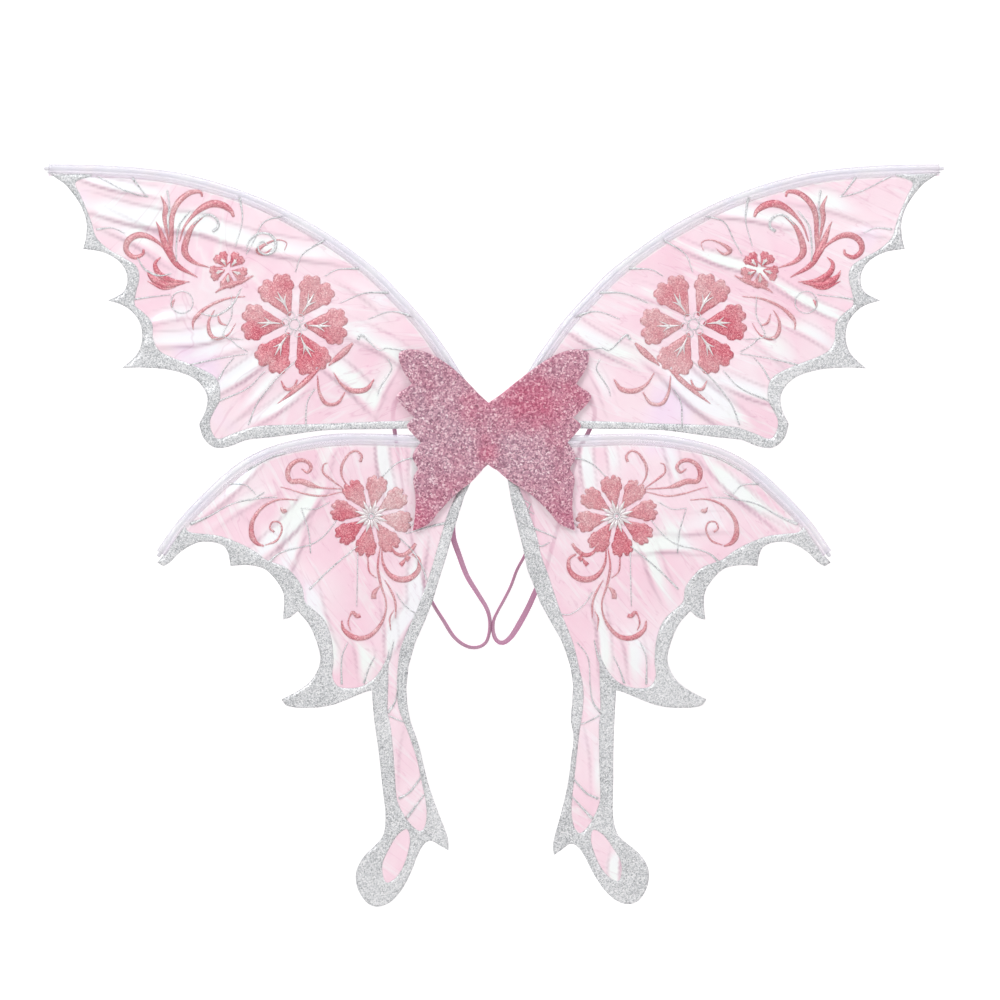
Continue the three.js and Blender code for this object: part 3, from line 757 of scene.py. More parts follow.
innerWindow = {
    "right": [(85, -300), (88.6, -275), (89, -253), (84.5, -231), (80, -212), (75, -198), (66, -176),
              (58.5, -154), (53, -137.5), (47, -121), (42, -99), (32, -71), (23, -50), (12, -34)],
    "left": [(88, -300), (95, -275), (97, -253), (94.5, -220), (87, -198), (77, -176), (71, -160),
             (65, -143), (58.5, -121), (52, -99), (45, -77), (33, -54), (18, -36)],
}
lowerBeyond = [(0, -20), (20, 30), (150, 30), (240, 10), (310, -60), (322, -78)]
bulbWindow = [
    (99, -395.2), (108.9, -400.1), (118.9, -413.4), (126.5, -426.7), (127.2, -439), (123.8, -446.4),
    (113.9, -441.5), (105.6, -430.6), (99.6, -416.7), (96.8, -405.1),
]


def swung(wing, points):  # the limp tail of the left wing hangs in a little more
    word, level = wing.split("_")
    points = np.array(points, float)
    if level == "lower" and tailTurn[word]:
        c, s = math.cos(tailTurn[word]), math.sin(tailTurn[word])
        low = points[:, 1] < tailRoot[1]
        d = points[low] - tailRoot
        points[low] = tailRoot + np.stack([d[:, 0] * c - d[:, 1] * s, d[:, 0] * s + d[:, 1] * c], axis=1)
    return points


def closedCurve(points, step):
    p = np.array(points, float)
    wrapped = np.vstack([p[-2:], p, p[:3]])
    line = curveThrough(wrapped, step)
    first = int(np.argmin(np.linalg.norm(line[:60] - p[0], axis=1)))
    last = len(line) - 1 - int(np.argmin(np.linalg.norm(line[::-1][:60] - p[0], axis=1)))
    return line[first:last]


def windowsOf(wing):
    word, level = wing.split("_")
    if level == "upper":
        return [np.vstack([curveThrough(upperWindow, 3), upperBeyond])]
    inner = curveThrough(tailWindow + innerWindow[word], 3)
    main = np.vstack([curveThrough(lowerWindow, 3), inner, lowerBeyond])
    return [main, closedCurve(bulbWindow, 3)]


printSet = {"lift": 0.25, "thickness": 0.22 * mm, "spacing": 3.4}


def finishPrint(piece, wing):
    applyModifier(piece, "SOLIDIFY", thickness=printSet["thickness"], offset=1.0)
    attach(piece, f"{wing.split('_')[0]}_wing")


for wing, ring in wingRings.items():
    word, level = wing.split("_")
    windows = [swung(wing, w) for w in windowsOf(wing)]
    flat, faces = fillRing(ring, windows, printSet["spacing"])
    verts = placeOn(wing, flat, printSet["lift"])
    border = meshPiece(f"{wing}_silver_border", verts, facesFor(word, faces), silverGlitter)
    finishPrint(border, wing)
print("silver borders laid")


blushSpots = {  # x, z, reach in mm, and how much deeper the rose ink is there
    "right_upper": [(232, 92, 26, 0.7), (222, 118, 18, 0.4), (262, 172, 16, 0.6), (322, 168, 34, 0.45),
                    (330, 152, 16, 0.4), (272, 228, 16, 0.4), (180, 138, 16, 0.3), (358, 188, 14, 0.35),
                    (300, 236, 18, 0.35), (168, 40, 20, -0.1)],
    "right_lower": [(118, -112, 26, 0.45), (146, -96, 22, 0.3), (238, -106, 14, 0.3), (84, -136, 22, 0.3),
                    (136, -200, 22, 0.35), (200, -36, 16, 0.2), (120, -56, 18, 0.2)],
    "left_upper": [(196, 78, 28, 0.65), (236, 96, 18, 0.5), (166, 104, 20, 0.2), (262, 172, 16, 0.5),
                   (332, 170, 34, 0.5), (276, 226, 18, 0.35), (210, 146, 18, 0.3), (150, 50, 30, 0.1)],
    "left_lower": [(148, -95, 20, 0.8), (138, -50, 12, 0.5), (98, -76, 26, -0.3), (120, -120, 22, 0.3),
                   (146, -200, 24, 0.35), (92, -130, 20, 0.25), (200, -36, 18, 0.15),
                   (238, -100, 14, 0.3)],
}


# brush strokes: points (x, z) in mm, widths in mm at even shares along; several to one piece
def layStrokes(name, wing, strokes, material, lift, rings=()):
    word = wing.split("_")[0]
    verts, faces = [], []

    def addFlat(flat, flatFaces, extra):
        placed = placeOn(wing, swung(wing, flat), lift + extra)
        first = len(verts)
        verts.extend(placed)
        faces.extend(tuple(first + i for i in f) for f in facesFor(word, flatFaces))

    for order, (points, widths) in enumerate(strokes):
        line = curveThrough(points, 1.6)
        share = lengths(line) / lengths(line)[-1]
        half = np.interp(share, np.linspace(0, 1, len(widths)), widths) / 2
        along = np.gradient(line, axis=0)
        along /= np.linalg.norm(along, axis=1)[:, None]
        aside = np.stack([along[:, 1], -along[:, 0]], axis=1)
        flat = np.vstack([line + aside * half[:, None], line - aside * half[:, None]])
        n = len(line)
        addFlat(flat, [(i, i + 1, n + i + 1, n + i) for i in range(n - 1)], 0.012 * (order % 24))
    for order, ring in enumerate(rings):
        flat, ringFaces = fillRing(ring, [], 3.0)
        addFlat(flat, ringFaces, 0.012 * (order % 24))
    piece = meshPiece(name, verts, faces, material)
    if material == roseGlitter:
        places = flatPlaces(piece) * (sides[word], 1)
        pointValues(piece, "blush", spotted(places, 0.42, blushSpots[wing]))
    finishPrint(piece, wing)
    return piece


def petalRing(centre, reach, turn, broad, notch):  # one heart-ended petal, its root towards the centre
    half = [(0.2, 0.03), (0.36, 0.12), (0.5, 0.205), (0.6, 0.25), (0.64, 0.315), (0.74, 0.335),
            (0.79, 0.31), (0.86, 0.335), (0.93, 0.28), (0.935, 0.2), (1.0, 0.15), (0.985, 0.06)]
    side = [(r * reach, s * reach * broad) for r, s in half]
    ring = side + [(notch * reach, 0)] + [(r, -s) for r, s in reversed(side)]
    c, s = math.cos(turn), math.sin(turn)
    ring = np.array([(centre[0] + r * c - t * s, centre[1] + r * s + t * c) for r, t in ring])
    return closedCurve(ring, 1.4)


def petalVeins(centre, reach, turn):  # a pale fork down the middle of a petal
    c, s = math.cos(turn), math.sin(turn)

    def at(r, t):
        return (centre[0] + (r * c - t * s) * reach, centre[1] + (r * s + t * c) * reach)

    return [
        ([at(0.26, 0), at(0.42, 0.008), at(0.7, -0.008)], [0.6, 3.0, 0.4]),
        ([at(0.38, 0), at(0.5, 0.05), at(0.58, 0.11)], [0.6, 1.6, 0.3]),
        ([at(0.44, 0), at(0.55, -0.05), at(0.64, -0.1)], [0.6, 1.4, 0.3]),
    ]


def starLeaves(centre, count, reach, turn):  # narrow pale leaves round the middle of a flower
    leaves = []
    for k in range(count):
        angle = turn + 2 * math.pi * k / count
        c, s = math.cos(angle), math.sin(angle)
        leaves.append(([(centre[0] + c * r, centre[1] + s * r) for r in (3.4, reach * 0.55, reach)],
                       [0.8, 3.4, 0.4]))
    return leaves


def ringStroke(centre, radius, width):
    points = [(centre[0] + radius * math.cos(a), centre[1] + radius * math.sin(a))
              for a in np.linspace(0, 2 * math.pi, 13)]
    return points, [width, width]


upperFlower = {"centre": (199.1, 109.2), "reach": 53, "petals": 6, "turn": 3}
sideFlower = {"centre": (265, 164), "reach": 19, "petals": 5, "turn": -15}
lowerFlower = {"centre": (122.5, -82), "reach": 41, "petals": 8, "turn": 10}

roseStrokes = {
    "upper": [
        ([(259.7, 216.5), (263, 223), (272, 228.6), (283, 229.3), (296, 222), (308, 208), (314, 192)],
         [2.5, 6.5, 7.5, 6, 3.2, 2, 1]),
        ([(290.4, 216.5), (299.9, 207.9), (306.6, 194.5), (308.5, 181), (299.9, 171.6), (284.6, 166)],
         [1.2, 4, 6.4, 6.6, 3.6, 0.8]),
        ([(296, 156.3), (315.2, 167.7), (322.9, 181.1), (321.9, 198.3), (321, 217.5), (315.2, 230.9),
          (303.8, 240.4), (293.2, 241.4), (291.3, 236.6)], [1, 4, 6, 5, 4.4, 5.2, 6, 5, 2]),
        ([(319, 171.6), (328.6, 190.7), (334.4, 206), (337.2, 211.7)], [5.5, 8, 5, 0.8]),
        ([(324, 190), (328.6, 214), (327.7, 226), (332.4, 237.6)], [1.2, 3, 5.5, 0.8]),
        ([(319, 171.6), (330.5, 186.9), (343.9, 196.4), (355.4, 198.3), (365, 192.6), (366.9, 183),
          (359.2, 176.3), (350.6, 179.2), (349.6, 184)], [1.4, 2, 2.8, 4.6, 6.2, 6.4, 5, 4.2, 2]),
        ([(303.7, 151.5), (322.9, 153.4), (334.4, 160), (338.2, 169.6), (332.4, 176.3)],
         [0.8, 3, 7, 5, 0.8]),
        ([(308, 150.5), (328.6, 148.6), (342, 156.3), (346, 163)], [1, 5.5, 8.5, 0.8]),
        ([(318, 146.5), (330, 144.8), (345.8, 152.4)], [0.6, 2.6, 0.8]),
        ([(209, 183), (207.1, 190.7), (215.7, 193.6), (227.2, 189.7), (235.8, 183), (229.5, 179.2),
          (221.5, 185)],
         [0.6, 0.9, 1.2, 2.4, 4.6, 2.6, 0.6]),
        ([(248.3, 137.1), (265.5, 135.2), (280.8, 129.5), (292.3, 121.8), (300, 112.3), (300, 104)],
         [0.8, 1.6, 2.6, 2.8, 4.2, 0.8]),
        ([(257.8, 110.3), (265.5, 98.9), (277, 95), (283.7, 100.8), (284.6, 112.3), (278.9, 123.7)],
         [0.6, 1.2, 3.2, 4.2, 2.6, 0.6]),
        ([(266, 108), (273.1, 111), (276, 119.9)], [0.8, 2.8, 0.6]),
        ([(140.8, 90.5), (150.4, 81), (159.9, 73), (165, 68)], [2, 7, 6, 1]),
        ([(119.7, 54.3), (127.4, 44.5), (140.8, 43), (152.3, 49.5), (159.9, 61)],
         [1.2, 5, 5.2, 2.4, 0.8]),
        ([(148.4, 41.8), (156.1, 30.8), (167.6, 30.3), (174.3, 41.8), (176.2, 58)],
         [1, 3.2, 3.8, 2.4, 0.8]),
        ([(171.4, 68), (188.6, 52), (203, 40), (216, 30)], [1, 5.4, 4.4, 0.6]),
        ([(196.3, 54), (200.1, 46), (207.7, 44.7), (212.5, 53)], [1.4, 3, 3.2, 1]),
        ([(318.5, 134), (321.2, 130.4), (321.6, 126)], [1, 3.4, 1]),
        ([(279, 166.5), (270, 167), (258, 176)], [0.6, 1.4, 0.6]),
        ([(240, 158), (252, 152), (268, 147), (278, 141)], [0.8, 4.5, 4.5, 1]),
    ],
    "lower": [
        ([(146.4, -52), (151.9, -42), (151.5, -31), (145, -20.5), (137.5, -17), (132, -22), (133.5, -28)],
         [0.8, 1.6, 2.8, 2.6, 2.2, 2, 3]),
        ([(150.4, -54.5), (162, -46), (170.5, -38.5), (170, -31), (166, -29)], [0.7, 1.6, 2.4, 1.8, 0.8]),
        ([(151, -55), (175, -53.4), (192, -47.5), (202.5, -47.3), (206, -40), (203, -31.5), (195, -26.5),
          (187, -27.5), (182.5, -33), (186, -38.5),
          (192, -35)], [0.8, 1.4, 1.6, 5.6, 5.4, 4.6, 5, 4, 3.6, 3.4, 1]),
        ([(152, -58), (172, -62), (190, -59.5), (205, -55), (213, -53)], [0.7, 1.4, 1.8, 1.2, 0.6]),
        ([(196, -66), (214, -65.5), (230, -72.5), (240.5, -86), (242, -100), (237, -109), (229.5, -112)],
         [0.8, 1.4, 2.2, 3.2, 4.2, 5.8, 1.4]),
        ([(228, -111), (217, -106.5), (211.6, -96), (214, -88.5), (221, -88), (223.6, -94), (219.5, -98)],
         [0.8, 2, 1.8, 1.8, 1.6, 1.6, 2.2]),
        ([(207, -76), (210, -77.5), (213, -73.5)], [3.2, 4.2, 0.8]),
        ([(78, -109.5), (83, -116), (91, -121), (99, -118.5), (103, -110.5)], [2.8, 4.2, 4.2, 3, 1]),
        ([(93.5, -131), (91, -128.6), (88.6, -125)], [4.6, 4, 1]),
        ([(112, -114), (111, -128), (105, -139.5), (95.5, -145), (84, -144), (75.5, -136), (75, -125),
          (82, -120)],
         [0.8, 2, 3.4, 5.6, 6, 5, 3.4, 1.6]),
        ([(85, -122), (88, -126.5)], [5, 4.4]),
        ([(113.5, -113), (116, -132), (113, -150), (107.5, -170), (112, -188), (124, -201.5),
          (138, -203.5), (149.5, -196), (152, -186.5)], [0.7, 2, 2.6, 1.6, 1.6, 3.4, 4.6, 5.4, 1.4]),
        ([(109, -146), (103, -156), (98.5, -168), (98, -184)], [0.7, 2.2, 2, 0.6]),
        ([(120, -164.5), (119.5, -158.5), (114, -152)], [5, 4.6, 0.8]),
        ([(133.5, -181), (137, -182), (141.5, -178), (145.5, -188), (143, -196)],
         [4.2, 3.8, 1.2, 1.6, 0.8]),
        ([(117, -144), (124.5, -137), (126, -121)], [0.6, 1.8, 0.6]),
        ([(100, -176), (104, -184), (103, -196)], [0.6, 1.8, 0.6]),
    ],
}
silverStrokes = {
    "upper": [
        ([(135, 165), (156.1, 164), (168.5, 157.6)], [2.4, 0.9, 0.7]),
        ([(105, 141), (129.3, 140.3), (153.2, 130.8)], [2.6, 0.9, 0.7]),
        ([(80, 117), (102.5, 122.2), (125.5, 114.5)], [3, 0.9, 0.7]),
        ([(168, 194), (190.5, 179.6), (198.2, 161.4)], [2, 0.9, 0.7]),
        ([(208, 218), (229.1, 211.7), (238.7, 194.5), (247.3, 179.2)], [1.6, 0.9, 0.9, 0.7]),
        ([(254, 237), (251.1, 213.6), (257.8, 186.9)], [2.6, 0.8, 0.7]),
        ([(361.1, 255.8), (349.6, 240.4), (345.8, 236.6), (366.9, 242.3), (395.6, 257)],
         [2.2, 0.8, 0.9, 0.9, 1.4]),
        ([(368.8, 200.3), (381, 205.5), (397, 204)], [0.6, 0.9, 2]),
        ([(322.9, 139), (340, 137), (360, 134.2)], [0.7, 0.9, 1.8]),
        ([(246, 82), (256, 88), (267, 96.3), (282, 94)], [0.7, 0.9, 0.8, 0.6]),
        ([(246, 80), (274.7, 75.3), (303, 69)], [0.7, 0.9, 1.6]),
        ([(259.4, 76.2), (268, 66), (275, 54)], [0.7, 0.9, 2]),
        ([(228.8, 62.8), (246, 45.6), (274, 33)], [0.7, 1, 1.8]),
        ([(198.2, 72.4), (217.3, 55.2), (236.4, 30.3), (245, 9)], [0.7, 0.9, 0.9, 1.4]),
        ([(179, 45), (186.7, 30.3), (187.7, 8)], [0.7, 1, 1.4]),
        ([(108, 86), (116, 84), (131.2, 98.3), (136, 94)], [0.8, 1, 1.8, 2.4]),
        ([(78, 83), (94, 84), (108.3, 85.8)], [3, 1, 0.8]),
        ([(106, 75), (102, 66), (106, 58), (114, 45.6), (115.9, 38)], [0.7, 0.9, 1, 0.8, 0.6]),
        ([(280.8, 202), (275.6, 206), (276, 213), (282.8, 218.4), (291, 217), (300, 208.5)],
         [3, 2.4, 2.2, 2, 1.8, 1]),
        ([(304, 222), (314, 208), (317, 190), (317, 172)], [0.8, 1.6, 1.4, 0.6]),
        ([(326, 243), (324, 228), (325.5, 205)], [1.6, 1, 0.6]),
        ([(262, 138), (262, 118), (270, 98), (250, 94)], [0.5, 0.8, 0.8, 0.6]),
        ringStroke((311.4, 131.4), 11, 0.8),
        ringStroke((199.1, 109.2), 5.2, 0.9),
        ringStroke((208.2, 111.6), 3.4, 0.6), ringStroke((202.5, 118.2), 3.4, 0.6),
        ringStroke((193.4, 115.9), 3.4, 0.6), ringStroke((189.9, 107.1), 3.4, 0.6),
        ringStroke((195.6, 100.2), 3.4, 0.6), ringStroke((204.8, 102.3), 3.4, 0.6),
    ],
    "lower": [
        ([(72, -30), (82, -24.5), (98, -30), (112, -43)], [3, 1.2, 1, 0.6]),
        ([(183, -119), (185, -98), (192, -74)], [1, 1, 0.6]),
        ([(157, -86), (168, -100), (182, -110), (206, -116), (217, -121), (226, -130)],
         [0.6, 0.9, 1, 1, 1.2, 3]),
        ([(136, -112), (152, -125), (168, -139), (184, -155)], [0.7, 1.4, 1.3, 1.8]),
        ([(136, -118), (136.5, -150), (137, -172)], [0.6, 1, 0.6]),
        ([(164, -68), (178, -75), (192, -74)], [0.6, 0.8, 0.6]),
        ([(208, -19), (224, -24), (246, -36)], [1.4, 0.9, 1.6]),
        ([(238, -60), (248, -51), (264, -50)], [0.7, 0.8, 1.4]),
        ([(216, -63), (236, -64.5), (262, -70), (284, -82), (303, -90)], [0.6, 1, 1, 1.2, 3.2]),
        ([(229, -58), (237, -63), (244, -67)], [0.6, 1.2, 0.6]),
        ([(119, -222), (125, -234), (130, -249)], [0.8, 1, 2]),
        ([(146, -208), (152, -224), (152, -250)], [0.8, 1, 2.2]),
        ([(100, -206), (105, -226), (116, -246)], [0.8, 1.8, 2]),
        ([(83, -208), (94, -224), (96, -252), (99, -268), (106, -278)], [0.7, 0.9, 0.9, 1, 2.4]),
        ([(64, -179), (76, -180), (90, -170), (98, -158)], [0.8, 0.9, 0.8, 0.6]),
        ([(60, -72), (74, -84), (84, -92)], [3.4, 1.4, 0.7]),
        ([(79, -344), (86, -352), (93, -359), (104, -364)], [1.6, 1.8, 1.8, 2.4]),
        ([(78, -362), (86, -371), (98, -384)], [1.2, 1.8, 3]),
        ([(85, -290), (94, -287), (105, -281)], [1, 1.2, 1.6]),
        ringStroke((122.5, -82), 2.6, 1.6),
    ],
}
sideSilver = {  # strokes that only one wing shows, where the film is turned over at its inner edge
    "right_upper": [],
    "left_upper": [([(226, 188), (230, 192), (235, 189), (234, 182), (227, 179), (219, 183), (218, 192),
                     (224, 199), (234, 200), (243, 194),
                     (247, 185)], [1, 1.4, 1.8, 2.4, 2.6, 2.4, 2, 1.6, 0.8]),
                   ([(356, 176), (348, 164), (334, 158), (322, 160)], [0.8, 1.6, 1.6, 0.8]),
                   ([(252, 146), (262, 128), (278, 118), (292, 120)], [0.6, 1.8, 1.6, 0.8])],
    "right_lower": [([(24.5, -84), (35, -92), (54, -100), (62, -104)], [4.4, 3, 1, 0.8]),
                    ([(30, -66), (36, -70), (34, -76), (40, -80)], [0.8, 1.2, 1, 0.6]),
                    ([(32, -104), (40, -107), (47, -112), (56, -108)], [0.6, 1.4, 1.2, 0.6])],
    "left_lower": [([(39, -87), (48, -89), (62, -92), (88, -99.6)], [2.6, 2.2, 1.2, 0.6]),
                   ([(94, -104), (82, -116), (72, -132), (67, -146)], [0.8, 1.0, 1.2, 1.4])],
}


def layPattern(wing):
    level = wing.split("_")[1]
    flowers = [upperFlower, sideFlower] if level == "upper" else [lowerFlower]
    petals, veins = [], []
    for flower in flowers:
        for k in range(flower["petals"]):
            turn = math.radians(flower["turn"] + k * 360 / flower["petals"])
            broad = 6 / flower["petals"] * 1.02
            petals.append(petalRing(flower["centre"], flower["reach"], turn, broad, 0.9))
            veins.extend(petalVeins(flower["centre"], flower["reach"], turn))
    layStrokes(f"{wing}_rose_print", wing, roseStrokes[level], roseGlitter, 0.3, petals)
    if level == "lower":
        centre = lowerFlower["centre"]
        veins = starLeaves(centre, 8, 17, 0.3) + starLeaves(centre, 8, 12, 0.7)
    layStrokes(f"{wing}_pale_veins", wing, veins, pearlInk, 0.85)
    layStrokes(f"{wing}_silver_veins", wing, silverStrokes[level] + sideSilver[wing], silverGlitter,
               0.55)


for wing in wingRings:
    layPattern(wing)
print("flowers, scrolls and veins laid")


# casings: a folded film sleeve round each wire, welded along its film side
casingSet = {"clear": 40.4, "short": 1.4, "step": 2.0, "wall": 0.14 * mm}
sleeveSection = [  # across, positive towards the film, and depth, in mm
    (7.6, 0.32), (5.6, 0.4), (4.3, 0.62), (3.1, 1.2), (1.8, 1.9), (0.4, 2.25), (-1.0, 2.3), (-2.3, 2.0),
    (-3.4, 1.35), (-4.1, 0.6), (-4.3, 0.0),
]


def wireRun(level):  # the sleeved part of a wire, clear of the hub and of the tip cap
    line = curveThrough(wireLines[level], casingSet["step"])
    # the upper sleeve starts at a height, the lower at a distance out
    upward = 1 if level == "upper" else 0
    start = int(np.argmax(line[:, upward] > casingSet["clear"]))
    run = lengths(line)
    return line[start:int(np.argmax(run > run[-1] - casingSet["short"]))]


def makeCasing(wing):
    word, level = wing.split("_")
    line = wireRun(level)
    run = lengths(line)
    along = np.gradient(line, axis=0)
    along /= np.linalg.norm(along, axis=1)[:, None]
    toFilm = np.stack([along[:, 1], -along[:, 0]], axis=1)
    section = sleeveSection + [(a, -d) for a, d in reversed(sleeveSection[:-1])]
    n, count = len(section), len(line)
    pucker = 0.10 * np.sin(run / 5.3 + len(word)) + 0.07 * np.sin(run / 2.9) + 0.08 * np.sin(run / 13)
    flat = np.array([line + toFilm * a * (1 + 0.03 * np.sin(run / 17))[:, None] for a, d in section])
    deep = np.array([np.full(count, d) * (1 + (pucker if abs(d) > 0.5 else 0)) for a, d in section])
    rise = filmShape(wing, flat.reshape(-1, 2))[0]
    verts = np.empty((n * count, 3))
    verts[:, 0] = flat.reshape(-1, 2)[:, 0] * sides[word] * mm
    verts[:, 1] = filmY - (rise + deep.reshape(-1)) * mm
    verts[:, 2] = flat.reshape(-1, 2)[:, 1] * mm
    faces = [(k * count + i, (k + 1) * count + i, (k + 1) * count + i + 1, k * count + i + 1)
             for k in range(n - 1) for i in range(count - 1)]
    sleeve = meshPiece(f"{wing}_casing_sleeve", verts, facesFor(word, faces), casingFilm)
    layer = sleeve.data.uv_layers.new(name="sleeve")
    for loop in sleeve.data.loops:
        k, i = divmod(loop.vertex_index, count)
        layer.data[loop.index].uv = (run[i] / 100, (section[k][0] + 4.3) / 12)
    applyModifier(sleeve, "SOLIDIFY", thickness=casingSet["wall"], offset=0.0)
    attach(sleeve, f"{word}_wing")
    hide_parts(f"{wing}_casing")


for wing in wingRings:
    makeCasing(wing)
print("casings sleeved")


# materials of the small hard parts and of the hub
def coatedWireMaterial():  # spring wire in a smooth white vinyl coat, with faint die lines round it
    material = newMaterial("vinylCoatedWire")
    place = addNode(material, "ShaderNodeTexCoord", {})
    drawn = addNode(material, "ShaderNodeTexNoise", {"Scale": 180.0, "Detail": 2.0},
                    {"Vector": place.outputs["Object"]})
    tint = addNode(material, "ShaderNodeValToRGB", {}, {"Fac": drawn.outputs["Fac"]})
    rampStops(tint, [(0.3, "dedfe6"), (0.7, "f1f1f5")])
    bump = addNode(material, "ShaderNodeBump", {"Strength": 0.2, "Distance": 0.0002},
                   {"Height": drawn.outputs["Fac"]})
    shader = addNode(material, "ShaderNodeBsdfPrincipled",
                     {"Roughness": 0.28, "IOR": 1.52, "Coat Weight": 0.3},
                     {"Base Color": tint.outputs["Color"], "Normal": bump.outputs["Normal"]})
    addNode(material, "ShaderNodeOutputMaterial", {}, {"Surface": shader.outputs[0]})
    return material


# moulded vinyl or plastic: spark-eroded grain, faint mottle
def mouldedMaterial(name, low, high, roughness, grain):
    material = newMaterial(name)
    place = addNode(material, "ShaderNodeTexCoord", {})
    mottle = addNode(material, "ShaderNodeTexNoise", {"Scale": 90.0, "Detail": 3.0},
                     {"Vector": place.outputs["Object"]})
    tint = addNode(material, "ShaderNodeValToRGB", {}, {"Fac": mottle.outputs["Fac"]})
    rampStops(tint, [(0.3, low), (0.7, high)])
    pits = addNode(material, "ShaderNodeTexVoronoi", {"Scale": grain},
                   {"Vector": place.outputs["Object"]})
    bump = addNode(material, "ShaderNodeBump", {"Strength": 0.25, "Distance": 0.0002},
                   {"Height": pits.outputs["Distance"]})
    shader = addNode(material, "ShaderNodeBsdfPrincipled", {"Roughness": roughness, "IOR": 1.5},
                     {"Base Color": tint.outputs["Color"], "Normal": bump.outputs["Normal"]})
    addNode(material, "ShaderNodeOutputMaterial", {}, {"Surface": shader.outputs[0]})
    return material


# plain weave: crossing threads, shaded in the gaps, soft sheen
def wovenMaterial(name, low, high, pitch):
    material = newMaterial(name)
    place = addNode(material, "ShaderNodeTexCoord", {})
    warp = addNode(material, "ShaderNodeTexWave",
                   {"bands_direction": "X", "Scale": 0.16 / pitch, "Distortion": 0.3},
                   {"Vector": place.outputs["Object"]})
    weft = addNode(material, "ShaderNodeTexWave",
                   {"bands_direction": "Z", "Scale": 0.16 / pitch, "Distortion": 0.3},
                   {"Vector": place.outputs["Object"]})
    weave = addNode(material, "ShaderNodeMath", {"operation": "MULTIPLY"},
                    {0: warp.outputs["Fac"], 1: weft.outputs["Fac"]})
    tint = addNode(material, "ShaderNodeValToRGB", {}, {"Fac": weave.outputs[0]})
    rampStops(tint, [(0.0, low), (0.6, high)])
    bump = addNode(material, "ShaderNodeBump", {"Strength": 0.6, "Distance": 0.0003},
                   {"Height": weave.outputs[0]})
    shader = addNode(material, "ShaderNodeBsdfPrincipled", {"Roughness": 0.85, "Sheen Weight": 0.35},
                     {"Base Color": tint.outputs["Color"], "Normal": bump.outputs["Normal"]})
    addNode(material, "ShaderNodeOutputMaterial", {}, {"Surface": shader.outputs[0]})
    return material


def foamMaterial(name, low, high):  # closed-cell foam sheet: fine open pores on a dull skin
    material = newMaterial(name)
    place = addNode(material, "ShaderNodeTexCoord", {})
    pores = addNode(material, "ShaderNodeTexVoronoi", {"Scale": 1400.0},
                    {"Vector": place.outputs["Object"]})
    cloud = addNode(material, "ShaderNodeTexNoise", {"Scale": 45.0, "Detail": 4.0},
                    {"Vector": place.outputs["Object"]})
    tint = addNode(material, "ShaderNodeValToRGB", {}, {"Fac": cloud.outputs["Fac"]})
    rampStops(tint, [(0.3, low), (0.7, high)])
    bump = addNode(material, "ShaderNodeBump", {"Strength": 0.35, "Distance": 0.0003},
                   {"Height": pores.outputs["Distance"]})
    shader = addNode(material, "ShaderNodeBsdfPrincipled", {"Roughness": 0.9, "Sheen Weight": 0.15},
                     {"Base Color": tint.outputs["Color"], "Normal": bump.outputs["Normal"]})
    addNode(material, "ShaderNodeOutputMaterial", {}, {"Surface": shader.outputs[0]})
    return material


wireCoat = coatedWireMaterial()
vinylCap = mouldedMaterial("softVinylCap", "d5d3da", "e6e4ea", 0.4, 1800)
platePlastic = mouldedMaterial("mouldedWhitePlate", "dadadd", "ececef", 0.45, 1500)
webbingWeave = wovenMaterial("narrowPinkWebbing", "c58aa6", "e9bdd0", 0.7 * mm)
padFabric = wovenMaterial("brushedPadFabric", "d9a3b8", "f0c7d6", 0.55 * mm)
plainFoam = foamMaterial("plainPinkFoam", "e9b4c6", "f3c9d7")
stitchThread = mouldedMaterial("polyesterThread", "f0dfe6", "fbf2f5", 0.6, 4000)

for word in sides:
    for level in ("upper", "lower"):
        nodes[f"{word}_{level}_wire"].data.materials[0] = wireCoat
    nodes[f"{word}_wire_plate"].data.materials[0] = platePlastic

# tip caps: soft vinyl pushed over each wire end, modelled once along +X and copied
capSet = {"radius": 1.95 * mm, "length": 10 * mm, "reach": 2.4 * mm}
deselectAll()
bpy.ops.mesh.primitive_cylinder_add(vertices=40, radius=capSet["radius"], depth=capSet["length"],
                                    rotation=(0, math.radians(90), 0))
capModel = bpy.context.object
bpy.ops.object.transform_apply(location=True, rotation=True, scale=True)
bpy.ops.object.mode_set(mode="EDIT")
bpy.ops.mesh.select_mode(type="FACE")
bpy.ops.mesh.select_all(action="DESELECT")
bpy.ops.object.mode_set(mode="OBJECT")
for polygon in capModel.data.polygons:
    polygon.select = polygon.normal.x < -0.9
bpy.ops.object.mode_set(mode="EDIT")
bpy.ops.mesh.inset(thickness=0.35 * mm)
bpy.ops.mesh.extrude_region_move(TRANSFORM_OT_translate={"value": (1.2 * mm, 0, 0)})
bpy.ops.object.mode_set(mode="OBJECT")
for polygon in capModel.data.polygons:
    polygon.select = polygon.normal.x > 0.9
bpy.ops.object.mode_set(mode="EDIT")
bpy.ops.mesh.bevel(offset=1.4 * mm, segments=6, affect="EDGES")
bpy.ops.object.mode_set(mode="OBJECT")
applyModifier(capModel, "BEVEL", width=0.12 * mm, segments=2, limit_method="ANGLE")
bpy.ops.object.shade_smooth_by_angle(angle=math.radians(40))
capModel.data.materials.append(vinylCap)
